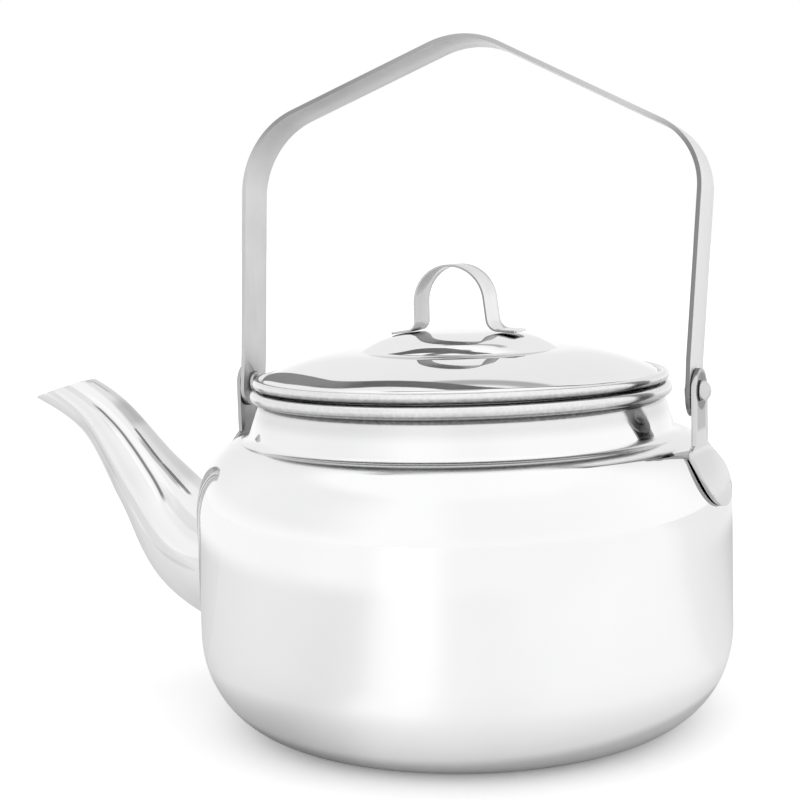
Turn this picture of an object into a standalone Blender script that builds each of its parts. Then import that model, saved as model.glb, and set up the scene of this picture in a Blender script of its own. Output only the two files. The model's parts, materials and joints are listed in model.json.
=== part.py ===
"""Camping coffee pot of sheet steel, modelled in metres with +Z up.

The origin is the centre of the flat base, on the surface that the pot stands on.
The spout points along -X. The strap handle, called the bail, lies over the pot in
the plane of the spout and swings about the X direction on two rivets.
"""
import math

import bmesh
import bpy
from mathutils import Matrix, Vector

# Body of the pot: one drawn shell
WALL = 0.0006                    # thickness of the pot's sheet
BASE_RADIUS = 0.0510             # radius of the flat that it stands on
BASE_CORNER_HEIGHT = 0.0270      # height of the round lower corner
SIDE_TOP_Z = 0.0600              # where the straight side ends
SHOULDER_RISE = 0.0210           # height of the round shoulder above the straight side
SHOULDER_DEPTH = 0.0150          # how far the shoulder rounds in over the side
SHOULDER_TUCK = 0.0002           # how far the shoulder's curve runs on inside the neck's foot
NECK_TOP_RADIUS = 0.0567         # neck, outside, under the rolled rim
NECK_FLARE = 0.0035              # how much wider the neck is where it leaves the shoulder
NECK_HEIGHT = 0.01215            # from the shoulder's top to the rolled rim's centre
NECK_FOOT_DROP = 0.00025         # how far the neck's corner lies below the shoulder's top
NECK_CORNER = 0.0023             # length of the small hollow corner where neck meets shoulder
RIM_OVERHANG = 0.0023            # how far the rolled rim stands out past the neck's top
RIM_BEAD = 0.0018                # radius of the rolled rim's round section

# Strainer: holes punched in the wall behind the spout
STRAINER_HOLE_RADIUS = 0.0017
STRAINER_PITCH = 0.0058
STRAINER_ROWS = 5
STRAINER_RISE = 0.0003           # height of the middle row above the spout's first station
STRAINER_REACH = 0.0032          # how far the punch goes through the wall on each side

# Spout: a tapered tube along a curve, stations are (distance out from the pot's side,
# height, radius)
SPOUT_STATIONS = (
    (-0.0087, 0.0347, 0.0188),
    (0.0132, 0.0442, 0.0164),
    (0.0298, 0.0620, 0.0114),
    (0.0475, 0.0830, 0.0081),
    (0.0682, 0.0936, 0.0067),
    (0.0790, 0.0957, 0.0066),
)
SPOUT_WALL = 0.0007
SPOUT_LIP = (0.0730, 0.0872)     # the mouth's lowest point: distance out, and height
SPOUT_MOUTH_TILT = 16.9          # degrees that the mouth rises from the lip towards the pot

# Lid: one domed sheet with a rolled edge
LID_WALL = 0.0006
LID_INSET = 0.0008               # how far the lid's rolled edge stays inside the rolled rim's
LID_BEAD = 0.0014                # radius of the rolled edge's round section
LID_STEP_RADIUS = 0.0275         # crease where the raised crown starts
LID_STEP_RISE = 0.0096           # height of the crease above the rolled rim's top
LID_CROWN_RISE = 0.0050          # height of the crown above the crease
LID_CROWN_POWER = 4              # how square the crown's shoulder is
LID_BRIM_FALL = 8.7              # fall of the brim, in metres per square metre of radius
LID_GROOVE = 1.25                # from the bead's centre in to the brim's end, in bead radii
LID_BEAD_START = 145             # where the brim runs into the rolled edge, in degrees
LID_BEAD_END = -160              # where its underside leaves it
LID_LINE_STEPS = 5               # points along the crown, and again along the brim

# Collar under the lid, which keeps it from sliding off
COLLAR_WALL = 0.0006
COLLAR_DEPTH = 0.0075            # how far the collar hangs below the rolled rim's top
COLLAR_FLANGE = 0.0070           # width of the flange that follows the lid's underside
COLLAR_CLEARANCE = 0.0008        # gap all round between collar and mouth
COLLAR_BEND = 0.0012             # bend radius between flange and skirt
COLLAR_FLANGE_STEPS = 3

# Lid handle: a strap bent to an arch, with a foot at each end
LOOP_WIDTH = 0.0104
LOOP_THICKNESS = 0.0006
LOOP_HALF_SPAN = 0.0106          # from the loop's middle to the middle of a leg
LOOP_HEIGHT = 0.0187             # from the crown to the loop's top
LOOP_CENTRE_X = -0.0005
LOOP_LEFT_FOOT = 0.0189          # reach of the foot on the spout's side, from the loop's middle
LOOP_RIGHT_FOOT = 0.0195         # reach of the other foot
LOOP_LEFT_BEND = 0.0028          # bend radius between leg and foot on the spout's side
LOOP_RIGHT_BEND = 0.0040
LOOP_FOOT_LIFT = 0.0006          # how far the right foot's tip stands off the crown
LOOP_FOOT_CORNER = 0.0020        # rounding of the feet's corners, seen from above

# Bail: strap handle, measured from its pivot
STRAP_WIDTH = 0.0125
STRAP_THICKNESS = 0.0012
PIVOT_DROP = 0.00105             # how far the pivot lies below the rolled rim's top
BAIL_STANDOFF = 0.0077           # from the rolled rim to the inside of the strap
STRAP_TAIL = 0.0068              # strap below the pivot
STRAIGHT_ABOVE_PIVOT = 0.0080    # strap that stands flat against the ear
BAIL_SPLAY = 0.0021              # how far the upper corners stand out past the pivots
FRONT_CORNER_RISE = 0.0729       # upper corner on the spout's side, above the pivot
REAR_CORNER_RISE = 0.0655
APEX_RISE = 0.1001
APEX_X = 0.0004
FRONT_CORNER_BEND = 0.0240       # bend radius of the corner on the spout's side
REAR_CORNER_BEND = 0.0200
APEX_BEND = 0.0260
BAIL_LEAN = 7.9                  # degrees that the bail leans towards +Y as it stands
STRAP_END_CORNER = 0.0055        # rounding of the strap's ends

# Ears: the plates that carry the bail, spot-welded to the shoulder
EAR_THICKNESS = 0.0011
EAR_HALF_WIDTH = 0.0060
PAD_HALF_WIDTH = 0.0115
PAD_HALF_HEIGHT = 0.0088
PAD_RISE = 0.0125                # height of the welding pad's middle above the straight side
EAR_BEND = 0.0045                # bend radius between the upright and the pad

# Rivets
RIVET_RADIUS = 0.0022
RIVET_HEAD_RADIUS = 0.0040
RIVET_DOME = 0.0023
RIVET_TAIL_RADIUS = 0.0034
RIVET_TAIL = 0.0010

# Clearances
GAP = 0.0003                     # between pieces that rest on, or are welded to, each other
HOLE_CLEARANCE = 0.0001          # round a rivet's shank

# Facets
TURN_STEPS = 48                  # round the pot and the lid
RIVET_STEPS = 16                 # round a rivet and the holes for it
HOLE_SIDES = 8                   # round a strainer hole
SPOUT_POINTS = 18                # along the spout
SPOUT_SIDES = 24                 # round the spout
SMALL_BEND_STEPS = 4             # in a tight bend
BEND_STEPS = 9                   # in a wide bend or a round section

NECK_FOOT_RADIUS = NECK_TOP_RADIUS + NECK_FLARE
SHOULDER_CENTRE_R = NECK_FOOT_RADIUS - SHOULDER_TUCK
BODY_RADIUS = SHOULDER_CENTRE_R + SHOULDER_DEPTH
SHOULDER_TOP_Z = SIDE_TOP_Z + SHOULDER_RISE
RIM_RADIUS = NECK_TOP_RADIUS + RIM_OVERHANG
RIM_CENTRE_R = RIM_RADIUS - RIM_BEAD
RIM_Z = SHOULDER_TOP_Z + NECK_HEIGHT
RIM_TOP_Z = RIM_Z + RIM_BEAD
MOUTH_RADIUS = RIM_CENTRE_R - RIM_BEAD
STRAINER_Z = SPOUT_STATIONS[0][1] + STRAINER_RISE
LID_RADIUS = RIM_RADIUS - LID_INSET
LID_BEAD_Z = RIM_TOP_Z + GAP + LID_BEAD
LID_CREASE_Z = RIM_TOP_Z + LID_STEP_RISE
CROWN_TOP_Z = LID_CREASE_Z + LID_CROWN_RISE
PIVOT_Z = RIM_TOP_Z - PIVOT_DROP
PIVOT_HALF_SPAN = RIM_RADIUS + BAIL_STANDOFF + STRAP_THICKNESS / 2
CORNER_HALF_SPAN = PIVOT_HALF_SPAN + BAIL_SPLAY
PAD_Z = SIDE_TOP_Z + PAD_RISE
EAR_INNER_X = PIVOT_HALF_SPAN + STRAP_THICKNESS / 2 + GAP
EAR_MIDDLE_X = EAR_INNER_X + EAR_THICKNESS / 2


def clear_scene():
    for obj in list(bpy.data.objects):
        bpy.data.objects.remove(obj, do_unlink=True)


def make_collection(name):
    collection = bpy.data.collections.new(name)
    bpy.context.scene.collection.children.link(collection)
    return collection


def steel(name, colour, roughness):
    """Polished sheet steel."""
    material = bpy.data.materials.new(name)
    material.use_nodes = True
    shader = material.node_tree.nodes["Principled BSDF"]
    shader.inputs["Base Color"].default_value = (*colour, 1.0)
    shader.inputs["Metallic"].default_value = 1.0
    shader.inputs["Roughness"].default_value = roughness
    return material


def add_object(name, data, collection, material=None):
    obj = bpy.data.objects.new(name, data)
    collection.objects.link(obj)
    if material:
        data.materials.append(material)
    return obj


def arc(centre, radii, start, end, steps):
    """Points on an ellipse, from start to end in degrees, both ends included."""
    points = []
    for i in range(steps + 1):
        angle = math.radians(start + (end - start) * i / steps)
        points.append((centre[0] + radii[0] * math.cos(angle), centre[1] + radii[1] * math.sin(angle)))
    return points


def bezier(a, b, c, steps):
    """Points on the curve that leaves a towards b and reaches c from b."""
    points = []
    for i in range(steps + 1):
        t = i / steps
        points.append(tuple(
            (1 - t) ** 2 * a[k] + 2 * t * (1 - t) * b[k] + t ** 2 * c[k] for k in range(2)))
    return points


def offset_line(points, distance):
    """The same line moved sideways, to the left of its direction."""
    moved = []
    for i, point in enumerate(points):
        here = Vector(point)
        before = here - Vector(points[max(i - 1, 0)])
        after = Vector(points[min(i + 1, len(points) - 1)]) - here
        before = before.normalized() if before.length > 0 else after.normalized()
        after = after.normalized() if after.length > 0 else before
        middle = (before + after).normalized()
        stretch = 1 / max(middle.dot(after), 0.5)
        moved.append(tuple(here + Vector((-middle.y, middle.x)) * distance * stretch))
    return moved


def strip(points, thickness):
    """Closed outline of a sheet whose middle follows the line."""
    left = offset_line(points, thickness / 2)
    right = offset_line(points, -thickness / 2)
    return left + right[::-1]


def rounded_line(corners, steps):
    """A line through corners of (x, y, bend radius), each bend as an arc."""
    points = []
    for i, (x, y, radius) in enumerate(corners):
        here = Vector((x, y))
        if radius == 0 or i in (0, len(corners) - 1):
            points.append((x, y))
            continue
        back = (Vector(corners[i - 1][:2]) - here).normalized()
        ahead = (Vector(corners[i + 1][:2]) - here).normalized()
        half = back.angle(ahead) / 2
        centre = here + (back + ahead).normalized() * radius / math.sin(half)
        start = here + back * radius / math.tan(half) - centre
        end = here + ahead * radius / math.tan(half) - centre
        turn = start.angle_signed(end)
        for k in range(steps + 1):
            spoke = Matrix.Rotation(-turn * k / steps, 2) @ start
            points.append(tuple(centre + spoke))
    return points


def turned(name, profile, steps, collection, material, closed=False):
    """A profile of (radius, height) turned about Z. It runs down its outer side."""
    mesh = bpy.data.meshes.new(name)
    edges = [(i, i + 1) for i in range(len(profile) - 1)]
    if closed:
        edges.append((len(profile) - 1, 0))
    mesh.from_pydata([(r, 0, z) for r, z in profile], edges, [])
    obj = add_object(name, mesh, collection, material)
    screw = obj.modifiers.new("Turn", "SCREW")
    screw.steps = steps
    screw.render_steps = steps
    screw.use_merge_vertices = True
    screw.merge_threshold = 0.00001
    screw.use_smooth_shade = True
    return obj


def evaluated_mesh(obj):
    """The object's mesh after its modifiers, with loose caps welded."""
    depsgraph = bpy.context.evaluated_depsgraph_get()
    mesh = bpy.data.meshes.new_from_object(obj.evaluated_get(depsgraph))
    work = bmesh.new()
    work.from_mesh(mesh)
    bmesh.ops.remove_doubles(work, verts=work.verts, dist=0.000001)
    bmesh.ops.recalc_face_normals(work, faces=work.faces)
    work.to_mesh(mesh)
    work.free()
    return mesh


def as_mesh_object(obj, collection, material=None):
    """The curve or modified object as a plain mesh object in the same place."""
    name = obj.name
    matrix = obj.matrix_world.copy()
    mesh = evaluated_mesh(obj)
    bpy.data.objects.remove(obj, do_unlink=True)
    mesh.materials.clear()
    result = add_object(name, mesh, collection, material)
    result.matrix_world = matrix
    return result


def plate(name, outline, half_depth, plane, collection, material=None):
    """A flat outline, in the XZ, YZ or XY plane, given its depth on both sides."""
    curve = bpy.data.curves.new(name, "CURVE")
    curve.dimensions = "2D"
    curve.fill_mode = "BOTH"
    curve.extrude = half_depth
    spline = curve.splines.new("POLY")
    spline.points.add(len(outline) - 1)
    for point, (x, y) in zip(spline.points, outline):
        point.co = (x, y, 0, 1)
    spline.use_cyclic_u = True
    obj = add_object(name, curve, collection)
    turns = {"XZ": (math.pi / 2, 0, 0), "YZ": (math.pi / 2, 0, math.pi / 2), "XY": (0, 0, 0)}
    obj.rotation_euler = turns[plane]
    bpy.context.view_layer.update()
    return as_mesh_object(obj, collection, material)


def peg(name, radius, length, location, sides, collection):
    """A round cutter along X."""
    mesh = bpy.data.meshes.new(name)
    work = bmesh.new()
    bmesh.ops.create_cone(
        work, cap_ends=True, segments=sides, radius1=radius, radius2=radius, depth=length)
    work.to_mesh(mesh)
    work.free()
    obj = add_object(name, mesh, collection)
    obj.rotation_euler = (0, math.pi / 2, 0)
    obj.location = location
    return obj


def boolean(obj, other, operation):
    modifier = obj.modifiers.new(operation.title(), "BOOLEAN")
    modifier.operation = operation
    modifier.solver = "EXACT"
    modifier.object = other


def hide_tool(obj):
    obj.hide_render = True
    obj.display_type = "WIRE"


def smooth(obj, angle=35.0):
    obj.data.shade_smooth()
    obj.data.set_sharp_from_angle(angle=math.radians(angle))


def finish_cut(obj, collection, material):
    """The cut shape as a plain smooth-shaded piece."""
    result = as_mesh_object(obj, collection, material)
    smooth(result)
    return result


def pot_outer_line():
    """The pot's outside, from under the rolled rim down to the middle of the base."""
    reach = RIM_CENTRE_R - NECK_TOP_RADIUS
    neck_top = (NECK_TOP_RADIUS, RIM_Z - math.sqrt(RIM_BEAD ** 2 - reach ** 2))
    shoulder_start = math.degrees(math.acos(
        (NECK_FOOT_RADIUS + NECK_CORNER - SHOULDER_CENTRE_R) / SHOULDER_DEPTH))
    shoulder = arc((SHOULDER_CENTRE_R, SIDE_TOP_Z), (SHOULDER_DEPTH, SHOULDER_RISE),
                   shoulder_start, 0, BEND_STEPS - 2)
    neck_foot = (NECK_FOOT_RADIUS, SHOULDER_TOP_Z - NECK_FOOT_DROP)
    direction = (Vector(neck_top) - Vector(neck_foot)).normalized()
    corner_start = tuple(Vector(neck_foot) + direction * NECK_CORNER)
    corner = bezier(corner_start, neck_foot, shoulder[0], SMALL_BEND_STEPS - 1)
    base = arc((BASE_RADIUS, BASE_CORNER_HEIGHT),
               (BODY_RADIUS - BASE_RADIUS, BASE_CORNER_HEIGHT), 0, -90, BEND_STEPS)
    return [neck_top] + corner + shoulder[1:] + base + [(0, 0)]


def strainer_holes(tools):
    """Cutter for a six-sided patch of round holes in the wall behind the spout."""
    work = bmesh.new()
    for row in range(STRAINER_ROWS):
        off_middle = row - (STRAINER_ROWS - 1) / 2
        count = STRAINER_ROWS - abs(int(off_middle))
        z = STRAINER_Z + off_middle * STRAINER_PITCH * math.sin(math.radians(60))
        for i in range(count):
            y = (i - (count - 1) / 2) * STRAINER_PITCH
            x = -math.sqrt(BODY_RADIUS ** 2 - y ** 2)
            place = Matrix.Translation((x, y, z)) @ Matrix.Rotation(math.pi / 2, 4, "Y")
            bmesh.ops.create_cone(
                work, cap_ends=True, segments=HOLE_SIDES, radius1=STRAINER_HOLE_RADIUS,
                radius2=STRAINER_HOLE_RADIUS, depth=2 * STRAINER_REACH, matrix=place)
    mesh = bpy.data.meshes.new("strainer_holes")
    work.to_mesh(mesh)
    work.free()
    holes = add_object("strainer_holes", mesh, tools)
    hide_tool(holes)
    return holes


def make_pot_body(collection, tools, material):
    """Drawn shell with a rolled rim, and the strainer holes behind the spout."""
    outer = pot_outer_line()
    inner = offset_line(outer[:-1], -WALL)
    inner[-1] = (BASE_RADIUS, WALL)
    # The wall meets the rolled rim where its two sides cut the rim's round section.
    inner[0] = (NECK_TOP_RADIUS - WALL, inner[0][1])
    reach = RIM_CENTRE_R - inner[0][0]
    inner[0] = (inner[0][0], RIM_Z - math.sqrt(RIM_BEAD ** 2 - reach ** 2))
    start = math.degrees(math.atan2(inner[0][1] - RIM_Z, -reach)) + 360
    end = math.degrees(math.atan2(outer[0][1] - RIM_Z, outer[0][0] - RIM_CENTRE_R))
    rim = arc((RIM_CENTRE_R, RIM_Z), (RIM_BEAD, RIM_BEAD), start, end, BEND_STEPS)
    profile = [(0, WALL)] + inner[::-1] + rim[1:-1] + outer
    body = turned("pot_body", profile, TURN_STEPS, collection, material)
    holes = strainer_holes(tools)
    boolean(body, holes, "DIFFERENCE")
    bpy.context.view_layer.update()
    return finish_cut(body, collection, material)


def smooth_stations(stations, count):
    """Evenly spread points on a smooth curve through the stations."""
    known = [Vector(s) for s in stations]
    padded = [2 * known[0] - known[1]] + known + [2 * known[-1] - known[-2]]
    points = []
    spans = len(known) - 1
    for i in range(count):
        place = i / (count - 1) * spans
        k = min(int(place), spans - 1)
        t = place - k
        p0, p1, p2, p3 = padded[k:k + 4]
        points.append(0.5 * (2 * p1 + (p2 - p0) * t + (2 * p0 - 5 * p1 + 4 * p2 - p3) * t ** 2
                             + (3 * p1 - p0 - 3 * p2 + p3) * t ** 3))
    return points


def tapered_tube(name, points, shrink, collection):
    """A round tube along (x, z, radius) points, as a closed mesh."""
    curve = bpy.data.curves.new(name, "CURVE")
    curve.dimensions = "3D"
    curve.bevel_depth = 1.0
    curve.bevel_resolution = SPOUT_SIDES // 2 - 2
    curve.use_fill_caps = True
    spline = curve.splines.new("POLY")
    spline.points.add(len(points) - 1)
    for point, (x, z, radius) in zip(spline.points, points):
        point.co = (x, 0, z, 1)
        point.radius = radius - shrink
    obj = add_object(name, curve, collection)
    bpy.context.view_layer.update()
    return as_mesh_object(obj, collection)


def make_spout(collection, tools, material):
    """Tapered tube, hollow, cut to the pot's side and along its mouth."""
    stations = [(-BODY_RADIUS - out, z, radius) for out, z, radius in SPOUT_STATIONS]
    points = smooth_stations(stations, SPOUT_POINTS)
    spout = tapered_tube("spout", points, 0, tools)
    # The bore runs past both ends of the tube, so that it cuts clean through.
    before = 2 * points[0] - points[1]
    after = 2 * points[-1] - points[-2]
    bore = tapered_tube("spout_bore", [before] + points + [after], SPOUT_WALL, tools)
    pot_line = offset_line(pot_outer_line()[:-1], GAP)
    envelope = [(0, RIM_TOP_Z)] + pot_line + [(0, pot_line[-1][1])]
    pot_space = turned("pot_space", envelope, TURN_STEPS, tools, None)
    # The mouth is cut by a block that covers the tube's end with room to spare.
    reach = 6 * SPOUT_STATIONS[-1][2]
    mouth = plate("spout_mouth_cut",
                  [(-reach, 0), (reach, 0), (reach, reach), (-reach, reach)], reach, "XZ", tools)
    tilt = Matrix.Rotation(-math.radians(SPOUT_MOUTH_TILT), 4, "Y")
    lip = Matrix.Translation((-BODY_RADIUS - SPOUT_LIP[0], 0, SPOUT_LIP[1]))
    mouth.matrix_world = lip @ tilt @ mouth.matrix_world
    bpy.context.view_layer.update()
    for tool in (bore, pot_space, mouth):
        hide_tool(tool)
        boolean(spout, tool, "DIFFERENCE")
    bpy.context.view_layer.update()
    return finish_cut(spout, collection, material)


def crown_height(radius):
    """Height of the lid's upper surface at a radius, crown and brim."""
    if radius < LID_STEP_RADIUS:
        return LID_CREASE_Z + LID_CROWN_RISE * (1 - (radius / LID_STEP_RADIUS) ** LID_CROWN_POWER)
    return LID_CREASE_Z - LID_BRIM_FALL * (radius - LID_STEP_RADIUS) ** 2


def lid_upper_line():
    """The lid's upper surface, from its middle out to the rolled edge's groove."""
    crown = []
    for i in range(LID_LINE_STEPS + 1):
        # The points crowd towards the crown's rounded shoulder.
        radius = LID_STEP_RADIUS * math.sin(math.radians(90 * i / LID_LINE_STEPS))
        crown.append((radius, crown_height(radius)))
    brim_end = LID_RADIUS - LID_BEAD - LID_BEAD * LID_GROOVE
    brim = []
    for i in range(1, LID_LINE_STEPS + 1):
        radius = LID_STEP_RADIUS + (brim_end - LID_STEP_RADIUS) * i / LID_LINE_STEPS
        brim.append((radius, crown_height(radius)))
    return crown + brim


def make_lid(collection, material):
    """Domed sheet with a raised crown and a rolled edge."""
    upper = lid_upper_line()
    lower = offset_line(upper, -LID_WALL)
    lower[0] = (0, upper[0][1] - LID_WALL)
    bead = arc((LID_RADIUS - LID_BEAD, LID_BEAD_Z), (LID_BEAD, LID_BEAD),
               LID_BEAD_START, LID_BEAD_END, BEND_STEPS)
    profile = upper + bead + lower[::-1]
    return turned("lid", profile, TURN_STEPS, collection, material)


def make_collar(collection, material):
    """Ring under the lid: a flange on the lid's underside and a skirt in the mouth."""
    skirt_r = MOUTH_RADIUS - COLLAR_CLEARANCE - COLLAR_WALL / 2
    drop = LID_WALL + GAP + COLLAR_WALL
    flange = []
    for i in range(COLLAR_FLANGE_STEPS + 1):
        radius = skirt_r - COLLAR_FLANGE * (1 - i / COLLAR_FLANGE_STEPS)
        flange.append((radius, crown_height(radius) - drop))
    corner = flange.pop()
    middle = [(r, z, 0) for r, z in flange]
    middle += [(*corner, COLLAR_BEND), (skirt_r, RIM_TOP_Z - COLLAR_DEPTH, 0)]
    outline = strip(rounded_line(middle, SMALL_BEND_STEPS - 1), COLLAR_WALL)
    return turned("lid_collar", outline, TURN_STEPS, collection, material, closed=True)


def make_lid_handle(collection, tools, material):
    """Strap bent to an arch, with a foot at each end that lies on the crown."""
    half = LOOP_THICKNESS / 2
    top = CROWN_TOP_Z + LOOP_HEIGHT - half
    arch_z = top - LOOP_HALF_SPAN

    def foot_height(x, lift):
        return crown_height(abs(x)) + GAP + half + lift

    left_tip = LOOP_CENTRE_X - LOOP_LEFT_FOOT
    right_tip = LOOP_CENTRE_X + LOOP_RIGHT_FOOT
    left_leg = LOOP_CENTRE_X - LOOP_HALF_SPAN
    right_leg = LOOP_CENTRE_X + LOOP_HALF_SPAN
    left_foot = rounded_line([
        (left_tip, foot_height(left_tip, 0), 0),
        (left_leg, foot_height(left_leg, 0), LOOP_LEFT_BEND),
        (left_leg, arch_z, 0)], SMALL_BEND_STEPS)
    right_foot = rounded_line([
        (right_leg, arch_z, 0),
        (right_leg, foot_height(right_leg, 0), LOOP_RIGHT_BEND),
        (right_tip, foot_height(right_tip, LOOP_FOOT_LIFT), 0)], SMALL_BEND_STEPS)
    arch = arc((LOOP_CENTRE_X, arch_z), (LOOP_HALF_SPAN, LOOP_HALF_SPAN), 180, 0, 2 * BEND_STEPS)
    line = left_foot[:-1] + arch + right_foot[1:]
    loop = plate("lid_handle", strip(line, LOOP_THICKNESS), LOOP_WIDTH, "XZ", tools)
    y = LOOP_WIDTH / 2
    corner = LOOP_FOOT_CORNER
    plan = rounded_line([
        (0, -y, 0), (right_tip, -y, corner), (right_tip, y, corner),
        (left_tip, y, corner), (left_tip, -y, corner), (0, -y, 0)], SMALL_BEND_STEPS)
    trim = plate("lid_handle_plan", plan[:-1], 2 * top, "XY", tools)
    hide_tool(trim)
    boolean(loop, trim, "INTERSECT")
    bpy.context.view_layer.update()
    return finish_cut(loop, collection, material)


def make_bail(collection, tools, material):
    """Strap bent over the pot, in its own space with the pivot at the origin."""
    line = rounded_line([
        (-PIVOT_HALF_SPAN, -STRAP_TAIL, 0),
        (-PIVOT_HALF_SPAN, STRAIGHT_ABOVE_PIVOT, 0),
        (-CORNER_HALF_SPAN, FRONT_CORNER_RISE, FRONT_CORNER_BEND),
        (APEX_X, APEX_RISE, APEX_BEND),
        (CORNER_HALF_SPAN, REAR_CORNER_RISE, REAR_CORNER_BEND),
        (PIVOT_HALF_SPAN, STRAIGHT_ABOVE_PIVOT, 0),
        (PIVOT_HALF_SPAN, -STRAP_TAIL, 0)], BEND_STEPS)
    bail = plate("bail", strip(line, STRAP_THICKNESS), STRAP_WIDTH, "XZ", tools)
    y = STRAP_WIDTH / 2
    top = 2 * APEX_RISE
    face = rounded_line([
        (0, top, 0), (-y, top, 0), (-y, -STRAP_TAIL, STRAP_END_CORNER),
        (y, -STRAP_TAIL, STRAP_END_CORNER), (y, top, 0)], SMALL_BEND_STEPS)
    trim = plate("bail_face", face, 2 * CORNER_HALF_SPAN, "YZ", tools)
    hole = peg("bail_holes", RIVET_RADIUS + HOLE_CLEARANCE, 4 * PIVOT_HALF_SPAN,
               (0, 0, 0), RIVET_STEPS, tools)
    bpy.context.view_layer.update()
    for tool, operation in ((trim, "INTERSECT"), (hole, "DIFFERENCE")):
        hide_tool(tool)
        boolean(bail, tool, operation)
    bpy.context.view_layer.update()
    bail = finish_cut(bail, collection, material)
    bail.data.transform(bail.matrix_world)
    bail.matrix_world = Matrix.Identity(4)
    bail.location = (0, 0, PIVOT_Z)
    bail.rotation_euler = (-math.radians(BAIL_LEAN), 0, 0)
    return bail


def ear_side_line():
    """Middle of the ear's sheet, seen along Y: upright, then out over the shoulder."""
    clearance = GAP + EAR_THICKNESS / 2
    depth = SHOULDER_DEPTH + clearance
    rise = SHOULDER_RISE + clearance
    start = math.degrees(math.acos((EAR_MIDDLE_X - SHOULDER_CENTRE_R) / depth))
    lowest = PAD_Z - PAD_HALF_HEIGHT - EAR_THICKNESS
    end = math.degrees(math.asin((lowest - SIDE_TOP_Z) / rise))
    shoulder = arc((SHOULDER_CENTRE_R, SIDE_TOP_Z), (depth, rise), start, end, SMALL_BEND_STEPS + 2)
    corners = [(EAR_MIDDLE_X, PIVOT_Z + EAR_HALF_WIDTH + EAR_THICKNESS, 0)]
    corners.append((*shoulder[0], EAR_BEND))
    corners += [(x, z, 0) for x, z in shoulder[1:]]
    return rounded_line(corners, SMALL_BEND_STEPS)


def ear_face_outline():
    """The ear seen along X: oval pad below, strap above, half-round top."""
    join = math.degrees(math.acos(EAR_HALF_WIDTH / PAD_HALF_WIDTH))
    pad = arc((0, PAD_Z), (PAD_HALF_WIDTH, PAD_HALF_HEIGHT), -180 - join, join, 3 * BEND_STEPS)
    top = arc((0, PIVOT_Z), (EAR_HALF_WIDTH, EAR_HALF_WIDTH), 0, 180, BEND_STEPS)
    return pad + top


def make_ear_mesh(tools):
    """One ear, for the side of the pot opposite the spout."""
    ear = plate("ear_blank", strip(ear_side_line(), EAR_THICKNESS), 2 * PAD_HALF_WIDTH, "XZ", tools)
    face = plate("ear_face", ear_face_outline(), 2 * BODY_RADIUS, "YZ", tools)
    hole = peg("ear_hole", RIVET_RADIUS + HOLE_CLEARANCE, 4 * PIVOT_HALF_SPAN,
               (0, 0, PIVOT_Z), RIVET_STEPS, tools)
    bpy.context.view_layer.update()
    for tool, operation in ((face, "INTERSECT"), (hole, "DIFFERENCE")):
        hide_tool(tool)
        boolean(ear, tool, operation)
    bpy.context.view_layer.update()
    mesh = evaluated_mesh(ear)
    mesh.transform(ear.matrix_world)
    bpy.data.objects.remove(ear, do_unlink=True)
    mesh.materials.clear()
    return mesh


def rivet_profile():
    """Domed head, shank and flat tail, as (radius, distance from the pot's middle)."""
    head = EAR_INNER_X + EAR_THICKNESS + GAP
    tail = PIVOT_HALF_SPAN - STRAP_THICKNESS / 2 - GAP
    dome = arc((0, head), (RIVET_HEAD_RADIUS, RIVET_DOME), 90, 0, SMALL_BEND_STEPS)
    return [(0, head + RIVET_DOME)] + dome[1:] + [
        (RIVET_RADIUS, head), (RIVET_RADIUS, tail), (RIVET_TAIL_RADIUS, tail),
        (RIVET_TAIL_RADIUS - RIVET_TAIL / 3, tail - RIVET_TAIL), (0, tail - RIVET_TAIL)]


def make_ears_and_rivets(collection, tools, ear_material, rivet_material):
    """The same ear and rivet on both sides, turned half round for the spout's side."""
    ear_mesh = make_ear_mesh(tools)
    ear_mesh.materials.append(ear_material)
    for name, side, turn in (("rear", 1, 0), ("front", -1, math.pi)):
        ear = add_object(f"ear_{name}", ear_mesh.copy(), collection)
        smooth(ear)
        ear.rotation_euler = (0, 0, turn)
        rivet = turned(f"rivet_{name}", rivet_profile(), RIVET_STEPS, collection, rivet_material)
        rivet.location = (0, 0, PIVOT_Z)
        rivet.rotation_euler = (0, side * math.pi / 2, 0)


def main():
    clear_scene()
    parts = make_collection("camping_coffee_pot")
    tools = make_collection("cutters")
    mirror = (0.80, 0.80, 0.81)
    make_pot_body(parts, tools, steel("pot_steel", mirror, 0.08))
    make_spout(parts, tools, steel("spout_steel", mirror, 0.10))
    strap_grey = (0.72, 0.72, 0.73)
    make_ears_and_rivets(parts, tools, steel("ear_steel", strap_grey, 0.22),
                         steel("rivet_steel", strap_grey, 0.25))
    make_bail(parts, tools, steel("bail_steel", strap_grey, 0.25))
    seat = bpy.data.objects.new("lid_seat", None)
    seat.location = (0, 0, RIM_TOP_Z)
    parts.objects.link(seat)
    lid_pieces = [
        make_lid(parts, steel("lid_steel", mirror, 0.08)),
        make_collar(parts, steel("collar_steel", mirror, 0.15)),
        make_lid_handle(parts, tools, steel("lid_handle_steel", strap_grey, 0.18)),
    ]
    bpy.context.view_layer.update()
    for piece in lid_pieces:
        place = piece.matrix_world.copy()
        piece.parent = seat
        piece.matrix_parent_inverse = seat.matrix_world.inverted()
        piece.matrix_world = place


main()
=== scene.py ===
# %% [markdown]
# # A camping coffee pot in polished steel
#
# This file dresses a finished model of a pot. The model, called the frame here, already
# has every piece at its real size and place, but its round shapes have visible facets.
# Mirror-bright steel shows every facet, so each piece is modelled again here with a fine,
# smooth surface, in the same place, and gets a steel finish. Then come the floor, the
# light and the camera. All sizes are in metres, +Z is up, and the spout points along -X.

# %% Load the frame
import json
import math

import bmesh
import bpy
from mathutils import Matrix, Vector
from mathutils.kdtree import KDTree


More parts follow.
